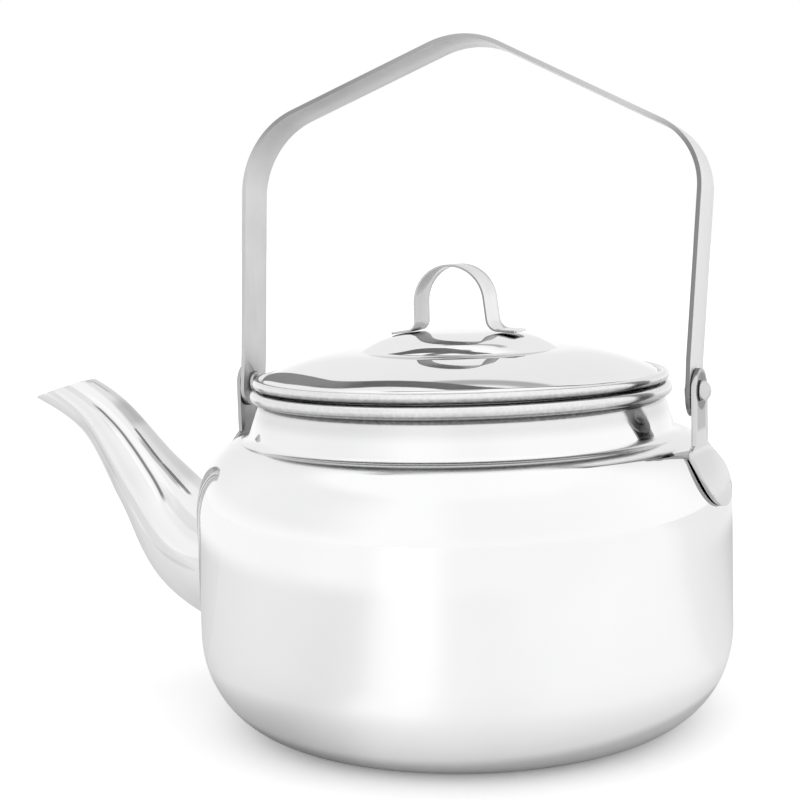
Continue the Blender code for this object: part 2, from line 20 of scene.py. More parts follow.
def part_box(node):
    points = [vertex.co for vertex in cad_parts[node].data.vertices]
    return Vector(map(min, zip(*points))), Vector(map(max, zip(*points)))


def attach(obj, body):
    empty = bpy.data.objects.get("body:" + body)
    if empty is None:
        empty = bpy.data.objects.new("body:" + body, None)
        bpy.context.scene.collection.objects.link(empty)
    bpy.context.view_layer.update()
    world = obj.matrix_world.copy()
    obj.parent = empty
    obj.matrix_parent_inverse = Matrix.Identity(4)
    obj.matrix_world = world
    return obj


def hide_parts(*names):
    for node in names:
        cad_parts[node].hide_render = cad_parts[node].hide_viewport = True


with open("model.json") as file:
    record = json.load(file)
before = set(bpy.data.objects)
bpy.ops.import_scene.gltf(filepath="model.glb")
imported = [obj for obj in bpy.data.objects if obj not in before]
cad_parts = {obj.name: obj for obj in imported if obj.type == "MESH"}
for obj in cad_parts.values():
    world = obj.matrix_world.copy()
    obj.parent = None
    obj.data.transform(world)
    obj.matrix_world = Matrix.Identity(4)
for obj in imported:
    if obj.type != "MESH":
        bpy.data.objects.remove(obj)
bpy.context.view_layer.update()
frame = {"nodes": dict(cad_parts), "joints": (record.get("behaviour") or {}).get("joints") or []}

print("frame nodes:", ", ".join(sorted(frame["nodes"])))

# %% [markdown]
# ## The camera
#
# The camera comes first, because every later step is judged through it. The photograph
# was taken with a long lens from a little above the pot, turned towards the spout's side.
# The place, the aim and the slight tilt of the horizon were worked out from the outlines
# of the round rims, which show a circle's centre and tilt very exactly.

# %% Camera
CAMERA_PLACE = Vector((0.18802, -0.43056, 0.14212))
CAMERA_AIM = Vector((-0.02721, 0.01743, 0.08746))
CAMERA_ROLL = -1.669             # degrees
CAMERA_LENS = 75.493             # mm, on a sensor 36 mm wide

camera = bpy.data.objects.new("camera", bpy.data.cameras.new("camera"))
bpy.context.scene.collection.objects.link(camera)
camera.data.lens = CAMERA_LENS
camera.data.sensor_width = 36.0
camera.data.clip_start = 0.01
camera.data.clip_end = 50.0
look = (CAMERA_AIM - CAMERA_PLACE).to_track_quat("-Z", "Y").to_matrix().to_4x4()
roll = Matrix.Rotation(math.radians(CAMERA_ROLL), 4, "Z")
camera.matrix_world = Matrix.Translation(CAMERA_PLACE) @ look @ roll
bpy.context.scene.camera = camera
print("camera is", round((CAMERA_AIM - CAMERA_PLACE).length, 3), "m from what it aims at")

# %% [markdown]
# ## Sizes
#
# The main sizes are read from the frame, piece by piece, so that a changed frame changes
# this file's pieces too. What the frame's boxes can't tell, such as the radius of a bend,
# is a named value in the cell where it is first needed.

# %% Sizes read from the frame
body_high = Vector(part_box("pot_body")[1])
lid_low, lid_high = (Vector(corner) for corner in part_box("lid"))
BODY_RADIUS = body_high.x
RIM_TOP = body_high.z
LID_RADIUS = lid_high.x
CROWN_TOP = lid_high.z
GAP = lid_low.z - RIM_TOP        # what the frame leaves between two resting pieces
WELD_SINK = 0.00005              # how far a welded piece reaches into what it is welded to
print("body radius", BODY_RADIUS, "rim top", RIM_TOP, "crown top", CROWN_TOP, "gap", GAP)

# %% [markdown]
# ## Drawing by hand in code
#
# Three small habits make operators safe in a script. First, everything is deselected
# before a new piece is started, because an operator acts on all that is selected.
# Second, a line is drawn as a person would draw it: a plane is added, its corners are
# merged into one point, and that point is extruded from place to place. Third, what is
# to be moved or cut is picked in code by its place, since nobody is there to click.

# %% Helpers for drawing
MERGE_DISTANCE = 0.000005


def deselect():
    if bpy.context.object and bpy.context.object.mode != "OBJECT":
        bpy.ops.object.mode_set(mode="OBJECT")
    bpy.ops.object.select_all(action="DESELECT")


def draw_line(name, points):
    """A chain of edges through 3-D points, drawn by extruding one vertex."""
    deselect()
    bpy.ops.mesh.primitive_plane_add(size=0.001, location=(0, 0, 0))
    piece = bpy.context.object
    piece.name = name
    piece.data.name = name
    bpy.ops.object.mode_set(mode="EDIT")
    bpy.ops.mesh.select_mode(type="VERT")
    bpy.ops.mesh.select_all(action="SELECT")
    bpy.ops.mesh.merge(type="CENTER")
    bpy.ops.transform.translate(value=Vector(points[0]))
    for here, there in zip(points, points[1:]):
        step = Vector(there) - Vector(here)
        bpy.ops.mesh.extrude_region_move(TRANSFORM_OT_translate={"value": step})
    return piece


def whole_normals():
    """All faces of the piece in hand turned the same way, outwards."""
    bpy.ops.mesh.select_all(action="SELECT")
    bpy.ops.mesh.normals_make_consistent(inside=False)


def spin_and_join(**values):
    """Turns the whole line all the way round, and merges where it meets itself."""
    bpy.ops.mesh.select_all(action="SELECT")
    bpy.ops.mesh.spin(angle=math.tau, **values)
    bpy.ops.mesh.select_all(action="SELECT")
    bpy.ops.mesh.remove_doubles(threshold=MERGE_DISTANCE)
    bpy.ops.mesh.normals_make_consistent(inside=False)


def pick(piece, test):
    """Selects the vertices whose place passes the test, and nothing else."""
    bpy.ops.mesh.select_mode(type="VERT")
    bpy.ops.mesh.select_all(action="DESELECT")
    mesh = bmesh.from_edit_mesh(piece.data)
    for vertex in mesh.verts:
        vertex.select = test(vertex.co)
    mesh.select_flush_mode()
    bmesh.update_edit_mesh(piece.data)


def arc(centre, radii, start, end, steps):
    """Points on an ellipse in a plane, from start to end in degrees."""
    points = []
    for i in range(steps + 1):
        angle = math.radians(start + (end - start) * i / steps)
        points.append((centre[0] + radii[0] * math.cos(angle),
                       centre[1] + radii[1] * math.sin(angle)))
    return points


def soft_corner(a, b, c, steps):
    """Points that leave a towards b and come to c from b, rounding the corner at b."""
    points = []
    for i in range(steps + 1):
        t = i / steps
        points.append(tuple((1 - t) ** 2 * a[k] + 2 * t * (1 - t) * b[k] + t ** 2 * c[k]
                            for k in range(2)))
    return points


# %% Helpers for finishing
def modifier(piece, kind, **values):
    """Adds a modifier, sets its values and applies it."""
    if piece.mode != "OBJECT":
        bpy.ops.object.mode_set(mode="OBJECT")
    bpy.context.view_layer.objects.active = piece
    added = piece.modifiers.new(kind.title(), kind)
    for key, value in values.items():
        setattr(added, key, value)
    bpy.ops.object.modifier_apply(modifier=added.name)


def cut(piece, cutter, operation="DIFFERENCE"):
    """Cuts the piece with a closed shape, which is then removed."""
    modifier(piece, "BOOLEAN", object=cutter, operation=operation, solver="EXACT")
    bpy.data.objects.remove(cutter, do_unlink=True)


SMOOTH_ANGLE = 30.0              # degrees; sharper edges stay sharp


def finish_piece(piece, body, slot, *nodes):
    """Smooth shading, and the piece's place in the frame."""
    deselect()
    piece.select_set(True)
    bpy.context.view_layer.objects.active = piece
    bpy.ops.object.transform_apply(location=True, rotation=True, scale=True)
    bpy.ops.object.shade_smooth_by_angle(angle=math.radians(SMOOTH_ANGLE))
    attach(piece, body)
    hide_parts(*nodes)
    print(piece.name, "has", len(piece.data.polygons), "faces")


# %% [markdown]
# ## Turned sheet
#
# The body and the lid are round, so each is one line turned about the upright axis. Spin
# does that: it repeats the selected line in steps all the way round. The line is the
# outer face of the sheet. Doubles are merged where the turn closes and where the line
# touches the axis, then the normals are recalculated, and only then does Solidify give
# the sheet its thickness, towards the inside.

# %% Spin helper
TURN_STEPS = 240                 # round the pot


def face_outwards(piece, place, direction):
    """Turns all faces over if the one nearest to the place looks against the direction."""
    nearest = min(piece.data.polygons, key=lambda f: (f.center - Vector(place)).length)
    if nearest.normal.dot(Vector(direction)) < 0:
        bpy.ops.object.mode_set(mode="EDIT")
        bpy.ops.mesh.select_all(action="SELECT")
        bpy.ops.mesh.flip_normals()
        bpy.ops.object.mode_set(mode="OBJECT")
        print(piece.name, "was inside out and is turned over")


def turn_sheet(name, line, thickness):
    """A sheet whose outer face is the line of (radius, height), turned about Z."""
    piece = draw_line(name, [(r, 0, z) for r, z in line])
    spin_and_join(steps=TURN_STEPS, center=(0, 0, 0), axis=(0, 0, 1))
    bpy.ops.object.mode_set(mode="OBJECT")
    if thickness:
        # The line's middle lies on the outer or upper side, away from the pot's inside.
        r, z = line[len(line) // 4]
        ahead = Vector(line[len(line) // 4 + 1]) - Vector((r, z))
        face_outwards(piece, (r, 0, z), (ahead.y, 0, -ahead.x))
        modifier(piece, "SOLIDIFY", thickness=thickness, offset=-1.0, use_even_offset=True)
    return piece


# %% [markdown]
# ## The pot's body
#
# The body is drawn from one disc of steel. Seen from the side it has a flat base, a wide
# round lower corner, a straight side, a round shoulder, a short neck that leans in, and
# a rim rolled outwards so that no sharp edge is left. The rolled rim is drawn as a real
# roll here: the line goes over the top and curls under itself.

# %% Body sizes
WALL = 0.0006
BASE_RADIUS = 0.0510
BASE_CORNER_HEIGHT = 0.0270
SIDE_TOP = 0.0600
SHOULDER_RISE = 0.0210
SHOULDER_DEPTH = 0.0150
NECK_FOOT_DROP = 0.00025
NECK_CORNER = 0.0023
NECK_FOOT_RADIUS = 0.0602
NECK_TOP_RADIUS = 0.0567
RIM_BEAD = 0.0018
RIM_RADIUS = 0.0590
RIM_CENTRE = (RIM_RADIUS - RIM_BEAD, RIM_TOP - RIM_BEAD)


def body_line():
    """The body's outer face, from the middle of the base up to the end of the roll."""
    base = arc((BASE_RADIUS, BASE_CORNER_HEIGHT),
               (BODY_RADIUS - BASE_RADIUS, BASE_CORNER_HEIGHT), -90, 0, 36)
    shoulder_centre = (BODY_RADIUS - SHOULDER_DEPTH, SIDE_TOP)
    reach = NECK_FOOT_RADIUS + NECK_CORNER - shoulder_centre[0]
    shoulder_end = math.degrees(math.acos(reach / SHOULDER_DEPTH))
    shoulder = arc(shoulder_centre, (SHOULDER_DEPTH, SHOULDER_RISE), 0, shoulder_end, 26)
    neck_foot = (NECK_FOOT_RADIUS, SIDE_TOP + SHOULDER_RISE - NECK_FOOT_DROP)
    neck_top = (NECK_TOP_RADIUS, RIM_CENTRE[1] - RIM_BEAD)
    lean = (Vector(neck_top) - Vector(neck_foot)).normalized()
    neck_start = tuple(Vector(neck_foot) + lean * NECK_CORNER)
    foot = soft_corner(shoulder[-1], neck_foot, neck_start, 10)
    roll = RIM_BEAD - WALL
    over = arc(RIM_CENTRE, (roll, roll), 180, -150, 26)
    neck = soft_corner(neck_top, (over[0][0], neck_top[1] + roll / 2), over[0], 6)
    return [(0, 0), (BASE_RADIUS / 2, 0)] + base + shoulder[1:] + foot[1:] + neck + over[1:]


# %% Turn the body
body = turn_sheet("fine_body", body_line(), WALL)
print("body's widest radius", round(max(v.co.x for v in body.data.vertices), 5))

# %% [markdown]
# Behind the spout the wall is punched with small holes, which hold the coffee grounds
# back. They are cut with one shape made of many pegs: one peg is modelled, and the rest
# are copies of it, in rows that make a six-sided patch.

# %% Strainer holes
HOLE_RADIUS = 0.0017
HOLE_PITCH = 0.0058
HOLE_ROWS = 5
HOLE_HEIGHT = 0.0350             # of the middle row
HOLE_REACH = 0.0064


def strainer_pegs():
    places = []
    for row in range(HOLE_ROWS):
        off_middle = row - (HOLE_ROWS - 1) / 2
        count = HOLE_ROWS - abs(int(off_middle))
        z = HOLE_HEIGHT + off_middle * HOLE_PITCH * math.sin(math.radians(60))
        for i in range(count):
            y = (i - (count - 1) / 2) * HOLE_PITCH
            places.append(Vector((-math.sqrt(BODY_RADIUS ** 2 - y ** 2), y, z)))
    deselect()
    bpy.ops.mesh.primitive_cylinder_add(vertices=24, radius=HOLE_RADIUS, depth=HOLE_REACH,
                                        location=places[0], rotation=(0, math.pi / 2, 0))
    pegs = bpy.context.object
    pegs.name = "strainer_pegs"
    bpy.ops.object.mode_set(mode="EDIT")
    for here, there in zip(places, places[1:]):
        bpy.ops.mesh.duplicate_move(TRANSFORM_OT_translate={"value": there - here})
    bpy.ops.object.mode_set(mode="OBJECT")
    print("strainer has", len(places), "holes")
    return pegs


cut(body, strainer_pegs())
finish_piece(body, "pot", "pot_steel", "pot_body")

# %% [markdown]
# ## The spout
#
# The spout is a tapered tube that leaves the side almost level, sweeps up in an S and
# ends in a mouth cut on the slant. It starts as a circle. Each next ring is extruded
# from the last, then shrunk and turned about its own middle, so the tube grows along a
# smooth curve through a few known stations.

# %% Spout sizes and centre line
SPOUT_STATIONS = (               # (x, z, radius) from inside the pot outwards
    (-0.0663, 0.0347, 0.0188),
    (-0.0882, 0.0442, 0.0164),
    (-0.1048, 0.0620, 0.0114),
    (-0.1225, 0.0830, 0.0081),
    (-0.1432, 0.0936, 0.0067),
    (-0.1540, 0.0957, 0.0066),
)
SPOUT_WALL = 0.0007
SPOUT_LIP = Vector((-0.1480, 0, 0.0872))
SPOUT_MOUTH_TILT = 16.9          # degrees
SPOUT_RINGS = 70
SPOUT_SIDES = 96


def smooth_curve(stations, count):
    """Points on a smooth curve through the stations."""
    known = [Vector(s) for s in stations]
    padded = [2 * known[0] - known[1]] + known + [2 * known[-1] - known[-2]]
    points = []
    spans = len(known) - 1
    for i in range(count):
        place = i / (count - 1) * spans
        k = min(int(place), spans - 1)
        t = place - k
        p0, p1, p2, p3 = padded[k:k + 4]
        points.append(0.5 * (2 * p1 + (p2 - p0) * t + (2 * p0 - 5 * p1 + 4 * p2 - p3) * t ** 2
                             + (3 * p1 - p0 - 3 * p2 + p3) * t ** 3))
    return points


# %% Grow the spout ring by ring
def make_spout():
    rings = smooth_curve(SPOUT_STATIONS, SPOUT_RINGS)
    headings = []
    for i in range(len(rings)):
        before, after = rings[max(i - 1, 0)], rings[min(i + 1, len(rings) - 1)]
        headings.append(math.atan2(after.y - before.y, before.x - after.x))
    deselect()
    bpy.ops.mesh.primitive_circle_add(
        vertices=SPOUT_SIDES, radius=rings[0].z, fill_type="NOTHING",
        location=(rings[0].x, 0, rings[0].y), rotation=(0, headings[0] - math.pi / 2, 0))
    spout = bpy.context.object
    spout.name = "fine_spout"
    bpy.ops.object.transform_apply(location=True, rotation=True, scale=True)
    bpy.ops.object.mode_set(mode="EDIT")
    bpy.ops.mesh.select_all(action="SELECT")
    for i in range(1, len(rings)):
        here, there = rings[i - 1], rings[i]
        step = Vector((there.x - here.x, 0, there.y - here.y))
        middle = Vector((there.x, 0, there.y))
        bpy.ops.mesh.extrude_region_move(TRANSFORM_OT_translate={"value": step})
        bpy.ops.transform.resize(value=(there.z / here.z,) * 3, center_override=middle)
        bpy.ops.transform.rotate(value=-(headings[i] - headings[i - 1]), orient_axis="Y",
                                 center_override=middle)
    # The mouth: everything beyond a slanting plane through the lip is cut away.
    tilt = math.radians(SPOUT_MOUTH_TILT)
    bpy.ops.mesh.select_all(action="SELECT")
    bpy.ops.mesh.bisect(plane_co=SPOUT_LIP, plane_no=(-math.sin(tilt), 0, math.cos(tilt)),
                        clear_outer=True)
    whole_normals()
    bpy.ops.object.mode_set(mode="OBJECT")
    face_outwards(spout, (rings[9].x, 0, rings[9].y + rings[9].z), (-1, 0, 1))
    modifier(spout, "SOLIDIFY", thickness=SPOUT_WALL, offset=-1.0, use_even_offset=True)
    return spout


spout = make_spout()

# %% [markdown]
# The tube's root is still inside the pot. It is cut off along the pot's side with a
# solid of the pot's own outline, a hair smaller than the pot so that the cut edge lies
# against the side as a weld does.

# %% Fit the spout to the side
def pot_solid(shrink):
    line = [(max(r - shrink, 0), z) for r, z in body_line() if z < RIM_CENTRE[1] - RIM_BEAD]
    return turn_sheet("pot_solid", line + [(0, line[-1][1])], 0)


cut(spout, pot_solid(WELD_SINK))
MOUTH_EDGE = 0.00012
modifier(spout, "BEVEL", width=MOUTH_EDGE, segments=2, limit_method="ANGLE",
         angle_limit=math.radians(50))

# %% [markdown]
# The spout bends, so a painted reflection on it, a soft spot or a line, can't be placed by
# height alone. Each vertex keeps its own place on the tube for the finish: how far along the
# middle line it lies, in metres, and how high on the tube, from -1 at the lowest to 1 at the
# highest.

# %% Places on the tube
TUBE_MARKS = 400                 # points on the middle line


def keep_tube_places(piece):
    marks = smooth_curve(SPOUT_STATIONS, TUBE_MARKS)
    points = [Vector((mark.x, 0, mark.y)) for mark in marks]
    near = KDTree(TUBE_MARKS)
    lengths = [0.0]
    for i, point in enumerate(points):
        near.insert(point, i)
        if i:
            lengths.append(lengths[-1] + (point - points[i - 1]).length)
    near.balance()
    values = []
    for vertex in piece.data.vertices:
        point, i, _ = near.find((vertex.co.x, 0, vertex.co.z))
        ahead, behind = points[min(i + 1, TUBE_MARKS - 1)], points[max(i - 1, 0)]
        heading = (ahead - behind).normalized()
        up = Vector((heading.z, 0, -heading.x))
        values += [lengths[i], (vertex.co - point).dot(up) / marks[i].z, 0.0]
    places = piece.data.attributes.new("tube", "FLOAT_VECTOR", "POINT")
    places.data.foreach_set("vector", values)
    return lengths[-1]


print("the middle line is", round(keep_tube_places(spout) * 1000, 1), "mm long")
finish_piece(spout, "pot", "spout_steel", "spout")

# %% [markdown]
# ## The lid
#
# The lid is turned too: a low crown in the middle, a soft crease where the crown meets the
# brim, a brim that falls ever more steeply, a narrow groove, and an edge rolled down and
# under. The roll lies on the pot's rolled rim. The crown is two simple curves, a domed
# top and a straight skirt, and the lower of the two counts at each radius. Where they
# cross, a soft minimum rounds the shoulder, as the press does.

# %% Lid sizes and line
LID_WALL = 0.0006
LID_BEAD = 0.0014
LID_BEAD_CENTRE = (LID_RADIUS - LID_BEAD, RIM_TOP + GAP + LID_BEAD)
CREASE_RADIUS = 0.0275
CREASE_Z = RIM_TOP + 0.0096
CREASE_SOFTNESS = 0.0007
CROWN_POWER = 4                  # how square the crown's shoulder is
CROWN_RADIUS = 0.0274
SKIRT_SLOPE = 0.535              # of the crown's straight skirt, down to the crease
SKIRT_FOOT = 0.00018
SKIRT_SOFTNESS = 0.00015
BRIM_FALL = 8.7                  # m per square metre of radius beyond the crease
GROOVE_RADIUS = 0.0556
BRIM_END_RADIUS = 0.0549


def lid_height(radius):
    if radius > CREASE_RADIUS:
        return CREASE_Z - BRIM_FALL * (radius - CREASE_RADIUS) ** 2
    dome = (CROWN_TOP - CREASE_Z) * (1 - (radius / CROWN_RADIUS) ** CROWN_POWER)
    skirt = SKIRT_FOOT + SKIRT_SLOPE * (CREASE_RADIUS - radius)
    near = max(SKIRT_SOFTNESS - abs(dome - skirt), 0) / SKIRT_SOFTNESS
    return CREASE_Z + min(dome, skirt) - near ** 2 * SKIRT_SOFTNESS / 4


def lid_line():
    """The lid's upper face, from the middle out, over the roll and under it."""
    crown = []
    for i in range(31):
        radius = (CREASE_RADIUS - CREASE_SOFTNESS) * math.sin(math.radians(90 * i / 30))
        crown.append((radius, lid_height(radius)))
    after = CREASE_RADIUS + CREASE_SOFTNESS
    crease = soft_corner(crown[-1], (CREASE_RADIUS, CREASE_Z), (after, lid_height(after)), 8)
    brim = []
    for i in range(1, 25):
        radius = after + (BRIM_END_RADIUS - after) * i / 24
        brim.append((radius, lid_height(radius)))
    bead = arc(LID_BEAD_CENTRE, (LID_BEAD, LID_BEAD), 130, -150, 30)
    groove = soft_corner(brim[-1], (GROOVE_RADIUS, bead[0][1] - 0.0008), bead[0], 8)
    return crown + crease[1:] + brim + groove[1:] + bead[1:]


lid = turn_sheet("fine_lid", lid_line()[::-1], LID_WALL)
print("lid's widest radius", round(max(v.co.x for v in lid.data.vertices), 5))
finish_piece(lid, "lid", "lid_steel", "lid")

# %% [markdown]
# Under the lid a thin collar hangs into the mouth and keeps the lid from sliding off. It
# is hidden while the lid is on, and shows when the lid is lifted.

# %% Collar
COLLAR_WALL = 0.0006
collar_low, collar_high = (Vector(corner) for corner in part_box("lid_collar"))
COLLAR_RADIUS = collar_high.x
COLLAR_FLANGE = 0.0070
COLLAR_BEND = 0.0012


def collar_line():
    """Outer face of the collar, from the flange's inner edge to the skirt's lower edge."""
    drop = LID_WALL + GAP / 2
    flange = []
    for i in range(7):
        radius = COLLAR_RADIUS - COLLAR_FLANGE + (COLLAR_FLANGE - COLLAR_BEND) * i / 6
        flange.append((radius, lid_height(radius) - drop))
    corner = (COLLAR_RADIUS, lid_height(COLLAR_RADIUS) - drop)
    skirt_top = (COLLAR_RADIUS, corner[1] - COLLAR_BEND)
    bend = soft_corner(flange[-1], corner, skirt_top, 8)
    return flange + bend[1:] + [(COLLAR_RADIUS, collar_low.z)]


collar = turn_sheet("fine_lid_collar", collar_line()[::-1], COLLAR_WALL)
finish_piece(collar, "lid", "collar_steel", "lid_collar")

# %% [markdown]
# ## Bent straps
#
# The lid's handle, the bail and the ears are all strips of flat steel. A strip's middle
# line is drawn in the XZ plane with an arc at every bend, extruded sideways to its width,
# and given its thickness on both sides. Its corners are rounded with a vertex bevel while
# it is still a single face thick, and its long edges get a fine bevel at the end, because
# the eye finds the bright line along an edge before it finds anything else.

# %% Strap helpers
def bent_line(corners, steps):
    """A line through (x, z, bend radius) corners, with each bend as an arc."""
    points = []
    for i, (x, z, radius) in enumerate(corners):
        here = Vector((x, z))
        if radius == 0 or i in (0, len(corners) - 1):
            points.append((x, z))
            continue
        back = (Vector(corners[i - 1][:2]) - here).normalized()
        ahead = (Vector(corners[i + 1][:2]) - here).normalized()
        half = back.angle(ahead) / 2
        centre = here + (back + ahead).normalized() * radius / math.sin(half)
        start = here + back * radius / math.tan(half) - centre
        end = here + ahead * radius / math.tan(half) - centre
        turn = start.angle_signed(end)
        for k in range(steps + 1):
            points.append(tuple(centre + Matrix.Rotation(-turn * k / steps, 2) @ start))
    return points


def bend_strap(name, line, width, thickness, end_corner=0.0):
    """A strap whose middle follows the line, its width along Y."""
    strap = draw_line(name, [(x, -width / 2, z) for x, z in line])
    bpy.ops.mesh.select_all(action="SELECT")
    bpy.ops.mesh.extrude_region_move(TRANSFORM_OT_translate={"value": (0, width, 0)})
    if end_corner:
        ends = [Vector((x, y, z)) for x, z in (line[0], line[-1])
                for y in (-width / 2, width / 2)]
        pick(strap, lambda place: min((place - end).length for end in ends) < 0.00001)
        bpy.ops.mesh.bevel(offset=end_corner, segments=10, affect="VERTICES")
    whole_normals()
    modifier(strap, "SOLIDIFY", thickness=thickness, offset=0.0, use_even_offset=True)
    return strap


def soften_edges(piece, width):
    modifier(piece, "BEVEL", width=width, segments=2, limit_method="ANGLE",
             angle_limit=math.radians(40), harden_normals=False)


# %% [markdown]
# ## The lid's handle
#
# A narrow strap is bent to an arch, and its ends are turned out to make two feet, which
# are spot-welded to the crown. In the photograph it isn't quite even: the right leg leans
# outwards a little, and the right foot's tip stands a little off the crown.

# %% Lid handle
handle_low, handle_high = (Vector(corner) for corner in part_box("lid_handle"))
LOOP_WIDTH = 0.92 * (handle_high.y - handle_low.y)
LOOP_THICKNESS = 0.0006
LOOP_CENTRE_X = -0.0007
LOOP_RADIUS = 0.0105
LOOP_RIGHT_LEG_X = 0.0108
LOOP_RIGHT_SLANT = 5.0           # degrees
LOOP_LEFT_BEND = 0.0028
LOOP_RIGHT_BEND = 0.0033
LOOP_FOOT_LIFT = 0.0006
LOOP_FOOT_CORNER = 0.0020
STRAP_EDGE = 0.00012


def handle_line():
    half = LOOP_THICKNESS / 2
    arch_z = handle_high.z - half - LOOP_RADIUS
    left_leg = LOOP_CENTRE_X - LOOP_RADIUS

    def foot_z(x, lift=0.0):
        return lid_height(abs(x)) + GAP + half + lift

    arch = arc((LOOP_CENTRE_X, arch_z), (LOOP_RADIUS, LOOP_RADIUS), 180, LOOP_RIGHT_SLANT, 60)
    left = bent_line([(handle_low.x, foot_z(handle_low.x), 0),
                      (left_leg, foot_z(left_leg), LOOP_LEFT_BEND),
                      (left_leg, arch_z, 0)], 10)
    right = bent_line([(*arch[-1], 0),
                       (LOOP_RIGHT_LEG_X, foot_z(LOOP_RIGHT_LEG_X), LOOP_RIGHT_BEND),
                       (handle_high.x, foot_z(handle_high.x, LOOP_FOOT_LIFT), 0)], 10)
    return left[:-1] + arch + right[1:]


handle = bend_strap("fine_lid_handle", handle_line(), LOOP_WIDTH, LOOP_THICKNESS,
                    end_corner=LOOP_FOOT_CORNER)
soften_edges(handle, STRAP_EDGE)
finish_piece(handle, "lid", "lid_handle_steel", "lid_handle")

# %% [markdown]
# ## The bail
#
# The bail is one long strap bent over the pot, with a peak above the middle so that the
# pot hangs level from a hook. It is drawn upright about its pivot, drilled for the two
# rivets, and then leaned back about the pivot as it stands in the photograph.

# %% Bail
PIVOT_Z = frame["joints"][0]["pos_m"][2]
PIVOT_HALF_SPAN = 0.0673
STRAP_WIDTH = 0.0125
STRAP_THICKNESS = 0.0012
STRAP_TAIL = 0.0068
STRAP_END_CORNER = 0.0055
STRAIGHT_ABOVE_PIVOT = 0.0080
CORNER_HALF_SPAN = 0.0694
FRONT_CORNER_RISE = 0.0729
REAR_CORNER_RISE = 0.0655
APEX_RISE = 0.1001
APEX_X = 0.0004
FRONT_CORNER_BEND = 0.0240
REAR_CORNER_BEND = 0.0200
APEX_BEND = 0.0260
BAIL_LEAN = math.radians(7.9)
RIVET_RADIUS = 0.0022
HOLE_CLEARANCE = 0.0001


def pivot_peg(z):
    deselect()
    bpy.ops.mesh.primitive_cylinder_add(
        vertices=48, radius=RIVET_RADIUS + HOLE_CLEARANCE, depth=4 * PIVOT_HALF_SPAN,
        location=(0, 0, z), rotation=(0, math.pi / 2, 0))
    return bpy.context.object


def make_bail():
    line = bent_line([
        (-PIVOT_HALF_SPAN, -STRAP_TAIL, 0),
        (-PIVOT_HALF_SPAN, STRAIGHT_ABOVE_PIVOT, 0),
        (-CORNER_HALF_SPAN, FRONT_CORNER_RISE, FRONT_CORNER_BEND),
        (APEX_X, APEX_RISE, APEX_BEND),
        (CORNER_HALF_SPAN, REAR_CORNER_RISE, REAR_CORNER_BEND),
        (PIVOT_HALF_SPAN, STRAIGHT_ABOVE_PIVOT, 0),
        (PIVOT_HALF_SPAN, -STRAP_TAIL, 0)], 40)
    bail = bend_strap("fine_bail", line, STRAP_WIDTH, STRAP_THICKNESS,
                      end_corner=STRAP_END_CORNER)
    cut(bail, pivot_peg(0))
    soften_edges(bail, 2 * STRAP_EDGE)
    bail.rotation_euler = (-BAIL_LEAN, 0, 0)
    bail.location = (0, 0, PIVOT_Z)
    return bail


bail = make_bail()
finish_piece(bail, "bail", "bail_steel", "bail")

# %% [markdown]
# ## The ears and the rivets
#
# Each ear is a stamped plate: an oval pad that is welded to the shoulder, and a narrower
# upright with a round top that carries the rivet. It is bent out of the upright along the
# shoulder. The bent blank comes first, wide and square, and then the ear's outline is
# cut from it like a biscuit. The pot is round from side to side too, so the pad's points
# are then moved in towards it, as the welding tongs press them. The second ear is the
# first one turned half round.

# %% Ear
EAR_THICKNESS = 0.0011
EAR_HALF_WIDTH = 0.0060
PAD_HALF_WIDTH = 0.0115
PAD_HALF_HEIGHT = 0.0088
PAD_Z = 0.0725
EAR_BEND = 0.0045
PAD_WRAP = 0.7                   # how much of the pot's roundness the pad takes on
EAR_MIDDLE_X = PIVOT_HALF_SPAN + STRAP_THICKNESS / 2 + GAP + EAR_THICKNESS / 2


def ear_side_line():
    """Middle of the ear's sheet seen along Y, from the top down."""
    clearance = GAP / 2 + EAR_THICKNESS / 2
    centre = (BODY_RADIUS - SHOULDER_DEPTH, SIDE_TOP)
    depth, rise = SHOULDER_DEPTH + clearance, SHOULDER_RISE + clearance
    start = math.degrees(math.acos((EAR_MIDDLE_X - centre[0]) / depth))
    lowest = PAD_Z - PAD_HALF_HEIGHT - EAR_THICKNESS
    end = math.degrees(math.asin((lowest - SIDE_TOP) / rise))
    shoulder = arc(centre, (depth, rise), start, end, 24)
    corners = [(EAR_MIDDLE_X, PIVOT_Z + EAR_HALF_WIDTH + EAR_THICKNESS, 0)]
    corners.append((*shoulder[0], EAR_BEND))
    # The bend takes up the shoulder line's first few points.
    corners += [(x, z, 0) for x, z in shoulder[4:]]
    return bent_line(corners, 12)


def ear_cutter():
    join = math.degrees(math.acos(EAR_HALF_WIDTH / PAD_HALF_WIDTH))
    pad = arc((0, PAD_Z), (PAD_HALF_WIDTH, PAD_HALF_HEIGHT), -180 - join, join, 72)
    top = arc((0, PIVOT_Z), (EAR_HALF_WIDTH, EAR_HALF_WIDTH), 0, 180, 32)
    cutter = draw_line("ear_cutter", [(0.05, y, z) for y, z in pad + top])
    bpy.ops.mesh.select_all(action="SELECT")
    bpy.ops.mesh.edge_face_add()
    bpy.ops.mesh.extrude_region_move(TRANSFORM_OT_translate={"value": (0.05, 0, 0)})
    whole_normals()
    bpy.ops.object.mode_set(mode="OBJECT")
    return cutter


def wrap_pad(ear):
    """Presses the pad's sides towards the round pot, and leaves the upright flat."""
    flat_above, round_below = SIDE_TOP + SHOULDER_RISE + 0.0005, SIDE_TOP + SHOULDER_RISE - 0.004
    for vertex in ear.data.vertices:
        x, y, z = vertex.co
        share = min(max((flat_above - z) / (flat_above - round_below), 0), 1)
        vertex.co.x = x - PAD_WRAP * share * (x - math.sqrt(x ** 2 - y ** 2))


